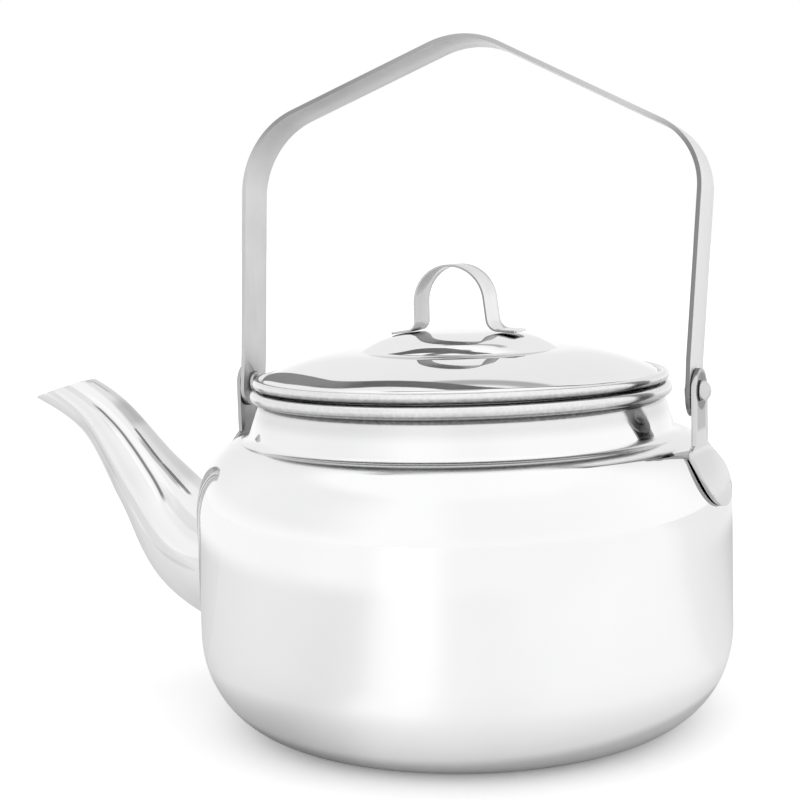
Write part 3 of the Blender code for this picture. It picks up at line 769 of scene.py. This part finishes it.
def make_ear(name):
    ear = bend_strap(name, ear_side_line(), 2.4 * PAD_HALF_WIDTH, EAR_THICKNESS)
    modifier(ear, "SUBSURF", subdivision_type="SIMPLE", levels=3, render_levels=3)
    cut(ear, ear_cutter(), "INTERSECT")
    wrap_pad(ear)
    cut(ear, pivot_peg(PIVOT_Z))
    soften_edges(ear, 1.5 * STRAP_EDGE)
    return ear


rear_ear = make_ear("fine_ear_rear")
front_ear = rear_ear.copy()
front_ear.data = rear_ear.data.copy()
front_ear.name = "fine_ear_front"
front_ear.rotation_euler = (0, 0, math.pi)
bpy.context.scene.collection.objects.link(front_ear)
finish_piece(rear_ear, "pot", "ear_steel", "ear_rear")
finish_piece(front_ear, "pot", "ear_steel", "ear_front")

# %% [markdown]
# A rivet is turned about its own axis, which lies along X: a domed head outside the ear,
# a shank through ear and strap, and a flat tail inside.

# %% Rivets
RIVET_HEAD_RADIUS = 0.0028
RIVET_DOME = 0.0023
RIVET_TAIL_RADIUS = 0.0034
RIVET_TAIL = 0.0010
RIVET_STEPS = 48                 # round the rivet


def make_rivet(name, side):
    head = EAR_MIDDLE_X + EAR_THICKNESS / 2 + GAP / 3
    tail = PIVOT_HALF_SPAN - STRAP_THICKNESS / 2 - GAP / 3
    dome = arc((0, head), (RIVET_HEAD_RADIUS, RIVET_DOME + GAP * 2 / 3), 90, 0, 14)
    line = dome + [(RIVET_RADIUS, head), (RIVET_RADIUS, tail), (RIVET_TAIL_RADIUS, tail),
                   (RIVET_TAIL_RADIUS - RIVET_TAIL / 3, tail - RIVET_TAIL), (0, tail - RIVET_TAIL)]
    rivet = draw_line(name, [(side * x, 0, PIVOT_Z + r) for r, x in line])
    spin_and_join(steps=RIVET_STEPS, center=(0, 0, PIVOT_Z), axis=(1, 0, 0))
    soften_edges(rivet, STRAP_EDGE)
    return rivet


for node, side in (("rivet_rear", 1), ("rivet_front", -1)):
    finish_piece(make_rivet("fine_" + node, side), "pot", "rivet_steel", node)

# %% [markdown]
# ## Steel
#
# Polished stainless steel is a mirror with small faults: it is buffed in rings while the
# piece turns, it is a touch cloudy where hands and cloths have been, and thin sheet is
# never quite true, so reflections waver a little. Each fault is a noise pattern read from
# the place on the piece: rings from the distance to the axis and the height, clouds from
# a coarse noise in the roughness, and the waver from a broad, very weak bump.
#
# Real steel sends back about two thirds of the light. A photographer makes up for that
# with brighter lamps, so its first reflection looks almost white, while steel mirrored in
# steel stays dark, and that is what draws the fine dark lines between rim, neck and lid.
# The light here is kept at a plain level, so the steel that the camera sees gets the
# brighter tone, and the same steel met by a mirrored ray gets its true one.
#
# In the photograph some places are darker and duller than others: the rolled rim and the lid's
# rolled edge, the neck just under the rim, and the narrow trough between neck and
# shoulder. Each is a soft-edged ring of painted shade in the finish, given by its radius and
# height, and most of the rings add roughness as well.

# %% Material helpers
def new_material(name):
    material = bpy.data.materials.new(name)
    material.use_nodes = True
    tree = material.node_tree
    return material, tree, tree.nodes["Principled BSDF"]


def feed(tree, socket, value):
    """Gives a socket a number, a (red, green, blue) tone, or another node's output."""
    if isinstance(value, (int, float)):
        socket.default_value = value
    elif isinstance(value, tuple):
        socket.default_value = (*value, 1)
    else:
        tree.links.new(value, socket)


def maths(tree, operation, *values):
    """A Math node. Each value is a number or another node's output."""
    node = tree.nodes.new("ShaderNodeMath")
    node.operation = operation
    for socket, value in zip(node.inputs, values):
        feed(tree, socket, value)
    return node.outputs["Value"]


def split(tree, vector):
    """The X, Y and Z of a vector."""
    node = tree.nodes.new("ShaderNodeSeparateXYZ")
    tree.links.new(vector, node.inputs["Vector"])
    return [node.outputs[axis] for axis in "XYZ"]


def noise(tree, vector, scale, detail=3.0, roughness=0.5):
    texture = tree.nodes.new("ShaderNodeTexNoise")
    texture.inputs["Scale"].default_value = scale
    texture.inputs["Detail"].default_value = detail
    texture.inputs["Roughness"].default_value = roughness
    tree.links.new(vector, texture.inputs["Vector"])
    return texture.outputs["Fac"]


def spread(tree, value, low, high, from_low=0.3, from_high=0.7, way="LINEAR"):
    """A value spread over a range. The middle of a noise lies between 0.3 and 0.7."""
    node = tree.nodes.new("ShaderNodeMapRange")
    node.interpolation_type = way
    for name, number in (("From Min", from_low), ("From Max", from_high),
                         ("To Min", low), ("To Max", high)):
        node.inputs[name].default_value = number
    tree.links.new(value, node.inputs["Value"])
    return node.outputs["Result"]


def bump(tree, height, strength, distance, normal=None):
    node = tree.nodes.new("ShaderNodeBump")
    node.inputs["Strength"].default_value = strength
    node.inputs["Distance"].default_value = distance
    tree.links.new(height, node.inputs["Height"])
    if normal:
        tree.links.new(normal, node.inputs["Normal"])
    return node.outputs["Normal"]


def fade(tree, value, start, end):
    """1 up to start, falling softly to 0 at end."""
    return spread(tree, value, 1, 0, start, end, "SMOOTHSTEP")


def blend(tree, share, a, b, kind="FLOAT"):
    """From a, where the share is 0, to b, where it is 1."""
    node = tree.nodes.new("ShaderNodeMix")
    node.data_type = kind
    for name, value in (("Factor", share), ("A", a), ("B", b)):
        feed(tree, node.inputs[name], value)
    return node.outputs["Result"]


def blend_tones(tree, share, a, b):
    return blend(tree, share, a, b, "RGBA")


def box_mask(tree, vector, middle, half, soft):
    """1 inside a box in the vector's X and Y, with soft sides."""
    sides = []
    for value, centre, size in zip(split(tree, vector), middle, half):
        off = maths(tree, "ABSOLUTE", maths(tree, "SUBTRACT", value, centre))
        sides.append(fade(tree, off, size, size + soft))
    return maths(tree, "MULTIPLY", *sides)


def first_and_true(tree, first, true):
    """The first tone for what is seen directly, and the true one for what steel mirrors."""
    mirrored = tree.nodes.new("ShaderNodeLightPath").outputs["Is Glossy Ray"]
    return blend_tones(tree, mirrored, first, true)


# %% Steel finishes
def ring_coordinates(tree):
    """(distance to the upright axis, height, 0) of a point on a turned piece."""
    place = tree.nodes.new("ShaderNodeTexCoord").outputs["Object"]
    flat = tree.nodes.new("ShaderNodeVectorMath")
    flat.operation = "MULTIPLY"
    flat.inputs[1].default_value = (1, 1, 0)
    length = tree.nodes.new("ShaderNodeVectorMath")
    length.operation = "LENGTH"
    join = tree.nodes.new("ShaderNodeCombineXYZ")
    tree.links.new(place, flat.inputs[0])
    tree.links.new(flat.outputs["Vector"], length.inputs[0])
    tree.links.new(length.outputs["Value"], join.inputs["X"])
    tree.links.new(split(tree, place)[2], join.inputs["Y"])
    return place, join.outputs["Vector"]


def polished_steel(name, dark, light, true, roughness, dull_shaded_rings=()):
    """Buffed sheet: roughness is (clean, cloudy). Each dull ring of painted shade is (radius and
    height of its middle, half sizes, softness, added roughness, tone of its painted shade,
    that tone where steel mirrors it, share of grit in it)."""
    material, tree, shader = new_material(name)
    place, rings = ring_coordinates(tree)
    shader.inputs["Metallic"].default_value = 1.0
    clouds = spread(tree, noise(tree, place, 26.0, detail=4.0), 0, 1)
    colour = blend_tones(tree, clouds, dark, light)
    smears = noise(tree, place, 60.0, detail=5.0, roughness=0.6)
    rough = spread(tree, smears, *roughness, 0.4, 0.75)
    grit = spread(tree, noise(tree, place, 900.0, detail=3.0), 0.7, 1.3)
    colour = first_and_true(tree, colour, true)
    mirrored = tree.nodes.new("ShaderNodeLightPath").outputs["Is Glossy Ray"]
    # Each ring darkens the tone as painted shade, and most also add roughness.
    for radius, height, half_wide, half_high, soft, added, level, true_level, gritty in dull_shaded_rings:
        ring = box_mask(tree, rings, (radius, height), (half_wide, half_high), soft)
        rough = maths(tree, "ADD", rough, maths(tree, "MULTIPLY", ring, added))
        shade = maths(tree, "MULTIPLY", ring, blend(tree, mirrored, 1 - level, 1 - true_level))
        shade = maths(tree, "MULTIPLY", shade, blend(tree, gritty, 1.0, grit))
        colour = blend_tones(tree, shade, colour, (0, 0, 0))
    tree.links.new(colour, shader.inputs["Base Color"])
    tree.links.new(rough, shader.inputs["Roughness"])
    waver = bump(tree, noise(tree, place, 22.0, detail=1.0), 0.10, 0.0012)
    buffing = noise(tree, rings, 2600.0, detail=2.0)
    tree.links.new(bump(tree, buffing, 0.02, 0.00002, waver), shader.inputs["Normal"])
    return material


# %% [markdown]
# The photograph's spout shows two thin dark lines with light beside them, a greyer top
# and a shade underneath. They are things in the room, drawn long and thin by the tube.
# Placed in the room, they would show in the round shoulder too, where the photograph has
# none. So only the short line is really mirrored, and the rest is painted over the spout's
# finish as painted reflections: soft spots of light and shade at places on the tube.

# %% Painted reflections on the spout
# Each painted reflection: middle (metres along, height on the tube), half length and its
# softness, half height and its softness, bend, tone, and how strongly it shows.
SPOUT_PAINTED_REFLECTIONS = (
    (0.0575, 0.755, 0.0200, 0.006, 0.035, 0.03, 250, 1.0, 0.40),    # light between lines
    (0.0570, 0.525, 0.0160, 0.005, 0.020, 0.03, 330, 1.0, 0.60),    # light under the line
    (0.0575, 0.640, 0.0165, 0.004, 0.012, 0.035, 330, 0.0, 0.74),   # long dark line
    (0.0500, 0.860, 0.0080, 0.004, 0.010, 0.03, 0, 0.0, 0.45),      # short dark line
    (0.0640, 1.000, 0.0200, 0.008, 0.080, 0.07, 0, 0.0, 0.16),      # grey top
    (0.0690, 0.980, 0.0025, 0.004, 0.050, 0.06, 0, 0.0, 0.28),      # darker patch in it
    (0.0280, 0.220, 0.0100, 0.014, 0.120, 0.12, 0, 1.0, 0.50),      # light by the root
    (0.0300, 0.620, 0.0080, 0.008, 0.060, 0.05, 0, 0.0, 0.14),      # grey above it
    (0.0800, 0.480, 0.0090, 0.008, 0.060, 0.06, 0, 0.0, 0.13),      # grey near the tip
    (0.0600, -0.240, 0.0450, 0.010, 0.080, 0.06, -160, 0.0, 0.15),  # shade underneath
    (0.0660, -0.400, 0.0070, 0.009, 0.100, 0.12, 0, 0.0, 0.20),     # darker middle of it
)


def add_painted_reflections(material, spots):
    """Painted reflections: soft spots of light and shade at places on the tube, over the finish's
    own tone.
    """
    tree = material.node_tree
    base = tree.nodes["Principled BSDF"].inputs["Base Color"]
    colour = base.links[0].from_socket
    own = tree.nodes.new("ShaderNodeAttribute")
    own.attribute_name = "tube"
    lengthwise, upwards, _ = split(tree, own.outputs["Vector"])
    for along, height, half_long, soft_long, half_high, soft_high, bend, level, share in spots:
        off = maths(tree, "SUBTRACT", lengthwise, along)
        drop = maths(tree, "MULTIPLY", maths(tree, "MULTIPLY", off, off), bend)
        above = maths(tree, "ADD", maths(tree, "SUBTRACT", upwards, height), drop)
        spot = maths(tree, "MULTIPLY",
                     fade(tree, maths(tree, "ABSOLUTE", off), half_long, half_long + soft_long),
                     fade(tree, maths(tree, "ABSOLUTE", above), half_high, half_high + soft_high))
        # Each spot lays a painted reflection, light or dark, over the tone.
        colour = blend_tones(tree, maths(tree, "MULTIPLY", spot, share), colour, (level,) * 3)
    tree.links.new(colour, base)
    return material


# %% [markdown]
# The straps are rolled strip, not buffed: a fine grain runs along them and keeps the
# reflections soft. Each strap has a painted shade on the spout's side and a brighter tone on
# the other, which blend across the middle, and the bail's high part has painted light on
# that side. Cut edges are darker, and how much of that shows is painted shade that differs
# by side and between the low and the high part of the bail. The ears have a painted shade
# on the upright, darkest in a ring round the rivet.

# %% Strap finishes
def strap_steel(name, front, rear, edge, true, roughness, grain, lean=0.0, turn=(-0.04, 0.05)):
    """Rolled strip with a fine grain. Front and rear are its tones towards -X and +X, the
    front one a painted shade, and turn is where one becomes the other. Edge is the tone of
    its cut edges, how much of it shows by side and height being painted shade, and grain is
    the (x, y, z) density of its lines."""
    material, tree, shader = new_material(name)
    coordinates = tree.nodes.new("ShaderNodeTexCoord")
    place = coordinates.outputs["Object"]
    mapping = tree.nodes.new("ShaderNodeMapping")
    mapping.inputs["Rotation"].default_value = (lean, 0, 0)
    mapping.inputs["Scale"].default_value = grain
    tree.links.new(place, mapping.inputs["Vector"])
    x, _, z = split(tree, place)
    shader.inputs["Metallic"].default_value = 1.0
    lines = noise(tree, mapping.outputs["Vector"], 40.0, detail=4.0, roughness=0.65)
    mottle = noise(tree, place, 70.0, detail=4.0)
    along = spread(tree, x, 0, 1, *turn)
    high = maths(tree, "SUBTRACT", 1.0, fade(tree, z, *EDGE_TURN))
    fronts = []
    for gain in (1.0, HIGH_PAINTED_LIGHT):
        dark, light = (tuple(v * gain * side for v in front) for side in (1 - MOTTLE, 1 + MOTTLE))
        fronts.append(blend_tones(tree, spread(tree, mottle, 0, 1), dark, light))
    # The spout's side gets the front tone as painted shade, and the bail's high part a painted
    # light.
    colour = blend_tones(tree, along, blend_tones(tree, high, *fronts), rear)
    # A cut edge faces along the strap's width, which is Y, leaned back with the bail.
    width = tree.nodes.new("ShaderNodeVectorMath")
    width.operation = "DOT_PRODUCT"
    width.inputs[1].default_value = (0, math.cos(lean), -math.sin(lean))
    tree.links.new(coordinates.outputs["Normal"], width.inputs[0])
    sideways = maths(tree, "ABSOLUTE", width.outputs["Value"])
    cut_edge = maths(tree, "SUBTRACT", 1.0, fade(tree, sideways, 0.6, 0.8))
    # How much of the dark edge shows, by side and height, is painted shade.
    share = blend(tree, along, blend(tree, high, *EDGE_FRONT), blend(tree, high, *EDGE_REAR))
    edge_here = maths(tree, "MULTIPLY", cut_edge, share)
    colour = blend_tones(tree, edge_here, colour, edge)
    tree.links.new(first_and_true(tree, colour, true), shader.inputs["Base Color"])
    tree.links.new(spread(tree, lines, *roughness), shader.inputs["Roughness"])
    waver = bump(tree, noise(tree, place, 45.0, detail=1.0), 0.12, 0.0008)
    tree.links.new(bump(tree, lines, 0.05, 0.00003, waver), shader.inputs["Normal"])
    return material, tree, shader, colour


UPRIGHT_SHADE_FROM = (0.0830, 0.0845)     # heights between which the upright's panel of painted shade begins
UPRIGHT_SHADE_HALF = (0.0036, 0.0044)     # its half width, and where its soft side ends
UPRIGHT_SHADE_SHARE = 0.75
RIVET_SHADE_REACH = (0.0046, 0.0054)          # painted shade round the rivet: reach from it, and where its soft edge ends
RIVET_SHADE_ASIDE = 0.0006


def ear_steel(name, front, rear, edge, true, roughness, grain):
    """Strap steel with a painted shade on the upright, darkest in a ring round the rivet."""
    material, tree, shader, colour = strap_steel(name, front, rear, edge, true, roughness, grain)
    place = tree.nodes.new("ShaderNodeTexCoord").outputs["Object"]
    _, y, z = split(tree, place)
    aside = maths(tree, "SUBTRACT", y, RIVET_SHADE_ASIDE)
    rise = maths(tree, "SUBTRACT", z, PIVOT_Z)
    reach = maths(tree, "SQRT", maths(tree, "ADD", maths(tree, "MULTIPLY", aside, aside),
                                      maths(tree, "MULTIPLY", rise, rise)))
    panel = maths(tree, "SUBTRACT", 1.0, fade(tree, z, *UPRIGHT_SHADE_FROM))
    panel = maths(tree, "MULTIPLY", panel,
                  fade(tree, maths(tree, "ABSOLUTE", y), *UPRIGHT_SHADE_HALF))
    panel = maths(tree, "MULTIPLY", panel, UPRIGHT_SHADE_SHARE)
    # Painted shade on the upright's panel, and darker in a ring round the rivet.
    colour = blend_tones(tree, panel, colour, EAR_PANEL_SHADE)
    colour = blend_tones(tree, fade(tree, reach, *RIVET_SHADE_REACH), colour, EAR_RIVET_SHADE)
    tree.links.new(first_and_true(tree, colour, true), shader.inputs["Base Color"])
    return material


# %% Put the finishes on
def grey(level):
    return (level, level, level * 1.004)


MIRROR = (grey(0.91), grey(0.94), grey(0.62))
SPOUT = (grey(0.80), grey(0.88), grey(0.56))
COLLAR = (grey(0.66), grey(0.74), grey(0.50))
MOTTLE = 0.05                    # how far a strap's front tone strays either way
EDGE_TURN = (0.157, 0.171)       # heights between which a strap's tones change
HIGH_PAINTED_LIGHT = 1.16                 # painted light: gain of the front tone above them
EDGE_FRONT = (0.25, 0.90)        # how much of the dark edge, partly painted shade, shows towards -X, below and above
EDGE_REAR = (1.0, 0.30)          # and towards +X
# Tones of the ears' painted shade: on the upright, and round the rivet.
EAR_PANEL_SHADE, EAR_RIVET_SHADE = grey(0.40), grey(0.16)
# Dull rings of painted shade: radius, height, half sizes, softness, roughness, tones, share of
# grit
BODY_SHADED_RINGS = ((0.0572, 0.0932, 0.0030, 0.0022, 0.0006, 0.13, 0.90, 0.60, 1.0),
              (0.0580, 0.0916, 0.0030, 0.0010, 0.0010, 0.00, 0.80, 0.80, 1.0),
              (0.0577, 0.0898, 0.0030, 0.0012, 0.0035, 0.07, 0.86, 0.90, 0.15),
              (0.0630, 0.0805, 0.0030, 0.0030, 0.0006, 0.16, 1.00, 0.80, 0.0))
LID_SHADED_RINGS = ((0.0576, 0.0965, 0.0022, 0.0025, 0.0006, 0.13, 0.90, 0.60, 1.0),
             (0.0582, 0.0952, 0.0022, 0.0010, 0.0009, 0.00, 0.50, 0.60, 0.6))
finishes = {
    "fine_body": polished_steel("pot_steel", *MIRROR, (0.03, 0.07), BODY_SHADED_RINGS),
    "fine_spout": add_painted_reflections(polished_steel("spout_steel", *SPOUT, (0.04, 0.09)),
                                 SPOUT_PAINTED_REFLECTIONS),
    "fine_lid": polished_steel("lid_steel", *MIRROR, (0.03, 0.06), LID_SHADED_RINGS),
    "fine_lid_collar": polished_steel("collar_steel", *COLLAR, (0.16, 0.28)),
    "fine_lid_handle": strap_steel("lid_handle_steel", grey(0.64), grey(0.84), grey(0.30),
                                   grey(0.26), (0.14, 0.22), (1, 12, 1),
                                   turn=(-0.006, 0.008))[0],
    "fine_bail": strap_steel("bail_steel", grey(0.71), grey(0.82), grey(0.26), grey(0.28),
                             (0.38, 0.50), (1, 14, 1), lean=BAIL_LEAN)[0],
    "fine_ear_rear": ear_steel("ear_steel", grey(0.42), grey(0.74), grey(0.62), grey(0.34),
                               (0.14, 0.24), (1, 12, 1)),
    "fine_rivet_rear": strap_steel("rivet_steel", grey(0.50), grey(0.66), grey(0.66), grey(0.30),
                                   (0.15, 0.25), (4, 4, 4))[0],
}
finishes["fine_ear_front"] = finishes["fine_ear_rear"]
finishes["fine_rivet_front"] = finishes["fine_rivet_rear"]
for name, material in finishes.items():
    piece = bpy.data.objects[name]
    piece.data.materials.clear()
    piece.data.materials.append(material)
print("finishes:", sorted(set(m.name for m in finishes.values())))

# %% [markdown]
# ## Floor and light
#
# A mirror is only as good as what it shows. The pot stands on a plain white floor in a
# plain white room, as it would for a catalogue, and the room is not quite even: a broad
# soft light stands to the left behind the camera, the far walls are a little greyer, and
# the ceiling is the brightest. All of it is one world material, written with the angle
# round the room and the height above the horizon. Two narrow dark things high on the far
# side draw the spout's short line. The camera itself sees plain white.
#
# The lower half of the pot mirrors the floor, so the floor needs tones as well, painted
# light and shadow that only mirrored rays meet: paler in front, where the soft light falls,
# and the pot's painted shadow beside and behind it, most of all near it. The camera sees it
# white, with only the pot's shadow, and everything else meets an even pale floor. A faint
# painted sheen lies under the soft light, and a round painted shade under the pot darkens
# the lowest part of the body.

# %% Round the room
def direction(tree, vector):
    """(angle round the upright axis, height above the horizon) in degrees, and the radius."""
    x, y, z = split(tree, vector)
    around = maths(tree, "DEGREES", maths(tree, "ARCTAN2", y, x))
    radius = maths(tree, "SQRT", maths(tree, "ADD", maths(tree, "MULTIPLY", x, x),
                                       maths(tree, "MULTIPLY", y, y)))
    height = maths(tree, "DEGREES", maths(tree, "ARCTAN2", z, radius))
    return around, height, radius


def around_levels(tree, around, stops):
    """A level for each angle round the room, blended between (angle, level) stops."""
    ramp = tree.nodes.new("ShaderNodeValToRGB")
    ramp.color_ramp.interpolation = "B_SPLINE"
    while len(ramp.color_ramp.elements) < len(stops):
        ramp.color_ramp.elements.new(0.5)
    for element, (angle, level) in zip(ramp.color_ramp.elements, stops):
        element.position = (angle + 180) / 360
        element.color = (level, level, level, 1)
    tree.links.new(spread(tree, around, 0, 1, -180, 180), ramp.inputs["Fac"])
    return ramp.outputs["Color"]


def plain_rays(tree):
    """1 for what the camera sees directly or through something, 0 for the rest."""
    path = tree.nodes.new("ShaderNodeLightPath")
    return maths(tree, "MAXIMUM", path.outputs["Is Camera Ray"],
                 path.outputs["Is Transmission Ray"])


# %% World
ROOM_LIGHT = 1.06                # the brightest part of the room
WALL_LEVELS = ((-180, 0.90), (-157, 0.885), (-140, 0.875), (-125, 0.90), (-112, 0.95),
               (-100, 1.0), (-80, 1.0), (-66, 0.95), (-37, 0.96), (8, 0.98), (38, 0.99),
               (53, 0.93), (68, 0.86), (98, 0.81), (128, 0.84), (158, 0.87), (180, 0.90))
HORIZON_LEVEL = 0.98
HORIZON_TO_WALLS = (-2, 14)      # degrees above the horizon
WALLS_TO_CEILING = (46, 60)
# Dark things above the room's far side: (angle round, height, half sizes, softness, depth)
DARK_THINGS = ((128, 64, 22, 1.8, 2, 0.80), (106, 49, 12, 1.2, 2, 0.50))


def make_world():
    world = bpy.data.worlds.new("studio")
    bpy.context.scene.world = world
    world.use_nodes = True
    tree = world.node_tree
    back = tree.nodes["Background"]
    place = tree.nodes.new("ShaderNodeTexCoord").outputs["Generated"]
    around, height, radius = direction(tree, place)
    walls = blend(tree, fade(tree, height, *HORIZON_TO_WALLS),
                  around_levels(tree, around, WALL_LEVELS), HORIZON_LEVEL)
    light = blend(tree, fade(tree, height, *WALLS_TO_CEILING), 1.0, walls)
    for angle, middle, half_width, half_height, soft, depth in DARK_THINGS:
        aside = maths(tree, "ABSOLUTE", maths(tree, "WRAP", maths(tree, "SUBTRACT", around, angle),
                                              180, -180))
        above = maths(tree, "ABSOLUTE", maths(tree, "SUBTRACT", height, middle))
        inside = maths(tree, "MULTIPLY", fade(tree, aside, half_width, half_width + 2 * soft),
                       fade(tree, above, half_height, half_height + soft))
        light = maths(tree, "MULTIPLY", light,
                      maths(tree, "SUBTRACT", 1.0, maths(tree, "MULTIPLY", inside, depth)))
    light = maths(tree, "MULTIPLY", light, ROOM_LIGHT)
    tree.links.new(blend(tree, plain_rays(tree), light, 1.0), back.inputs["Strength"])
    back.inputs["Color"].default_value = (1, 1, 1, 1)
    return world


make_world()

# %% Floor
FLOOR_SIZE = 12.0
FLOOR_TONE = 0.80
# Painted light and shadow that steel mirrors, as (angle round, level): near the pot, further out,
# far away
NEAR_FLOOR = ((-180, 0.55), (-150, 0.62), (-127, 0.60), (-114, 0.63), (-107, 0.70),
              (-100, 0.74), (-95, 0.80), (-88, 0.90), (-75, 0.92), (-59, 0.90), (-33, 0.87),
              (0, 0.88), (20, 0.82), (40, 0.74), (55, 0.62), (72, 0.42), (95, 0.26),
              (125, 0.26), (150, 0.40), (180, 0.55))
FAR_FLOOR = ((-180, 0.80), (-165, 0.84), (-150, 0.88), (-131, 0.87), (-120, 0.84),
             (-112, 0.83), (-105, 0.87), (-98, 0.93), (-88, 1.0), (-79, 1.0), (-72, 0.97),
             (-60, 0.94), (-48, 0.97), (-30, 1.0), (5, 1.0), (20, 0.97), (28, 0.90),
             (41, 0.85), (55, 0.80), (72, 0.64), (92, 0.48), (115, 0.44), (135, 0.54),
             (155, 0.66), (180, 0.80))
OUTER_FLOOR = ((-180, 0.98), (15, 1.0), (22, 0.96), (30, 0.88), (60, 0.86), (85, 0.90),
               (130, 0.98), (180, 0.98))
GLARE = (-87, 5, 18, 0.08)       # the soft light's sheen: angle, half width, edge, strength
NEAR_TO_FAR = (0.072, 0.104)     # radii between which one list turns into the next
FAR_TO_OUTER = (0.30, 0.38)
GLARE_REACH = (0.11, 0.08)       # radii between which the sheen comes in
FLOOR_GLOW = 0.03                # an even glow that steel mirrors
FLOOR_LIFT = 0.18                # brings the floor that the camera sees up to white
UNDER = (0.010, 0.071, 0.077, 0.28)  # the shade under the body: middle's y, radii, depth


def make_floor():
    deselect()
    bpy.ops.mesh.primitive_plane_add(size=FLOOR_SIZE, location=(0, 0, 0))
    floor = bpy.context.object
    floor.name = "studio_floor"
    material, tree, shader = new_material("studio_floor")
    shader.inputs["Roughness"].default_value = 0.9
    shader.inputs["Specular IOR Level"].default_value = 0.0
    place = tree.nodes.new("ShaderNodeTexCoord").outputs["Object"]
    around, height, radius = direction(tree, place)
    # What steel mirrors of the floor: painted light in front, the pot's painted shadow beside and
    # behind it.
    mirrored = blend(tree, fade(tree, radius, *NEAR_TO_FAR),
                     around_levels(tree, around, FAR_FLOOR),
                     around_levels(tree, around, NEAR_FLOOR))
    mirrored = blend(tree, fade(tree, radius, *FAR_TO_OUTER),
                     around_levels(tree, around, OUTER_FLOOR), mirrored)
    middle, inner, outer, depth = UNDER
    aside = tree.nodes.new("ShaderNodeVectorMath")
    aside.operation = "SUBTRACT"
    aside.inputs[1].default_value = (0, middle, 0)
    tree.links.new(place, aside.inputs[0])
    under = fade(tree, direction(tree, aside.outputs["Vector"])[2], inner, outer)
    mirrored = maths(tree, "MULTIPLY", mirrored,
                     maths(tree, "SUBTRACT", 1.0, maths(tree, "MULTIPLY", under, depth)))
    path = tree.nodes.new("ShaderNodeLightPath")
    tones = blend(tree, path.outputs["Is Glossy Ray"], FLOOR_TONE, mirrored)
    plain = plain_rays(tree)
    tree.links.new(blend(tree, plain, tones, 1.0), shader.inputs["Base Color"])
    shader.inputs["Emission Color"].default_value = (1, 1, 1, 1)
    angle, half_width, edge, strength = GLARE
    aside = maths(tree, "ABSOLUTE", maths(tree, "SUBTRACT", around, angle))
    sheen = maths(tree, "MULTIPLY", fade(tree, aside, half_width, edge), strength)
    sheen = maths(tree, "MULTIPLY", sheen, fade(tree, radius, *GLARE_REACH))
    sheen = maths(tree, "ADD", sheen, FLOOR_GLOW)
    glow = maths(tree, "MULTIPLY", sheen, path.outputs["Is Glossy Ray"])
    tree.links.new(maths(tree, "ADD", glow, maths(tree, "MULTIPLY", plain, FLOOR_LIFT)),
                   shader.inputs["Emission Strength"])
    floor.data.materials.append(material)
    return floor


make_floor()

# %% View
bpy.context.scene.view_settings.view_transform = "Standard"
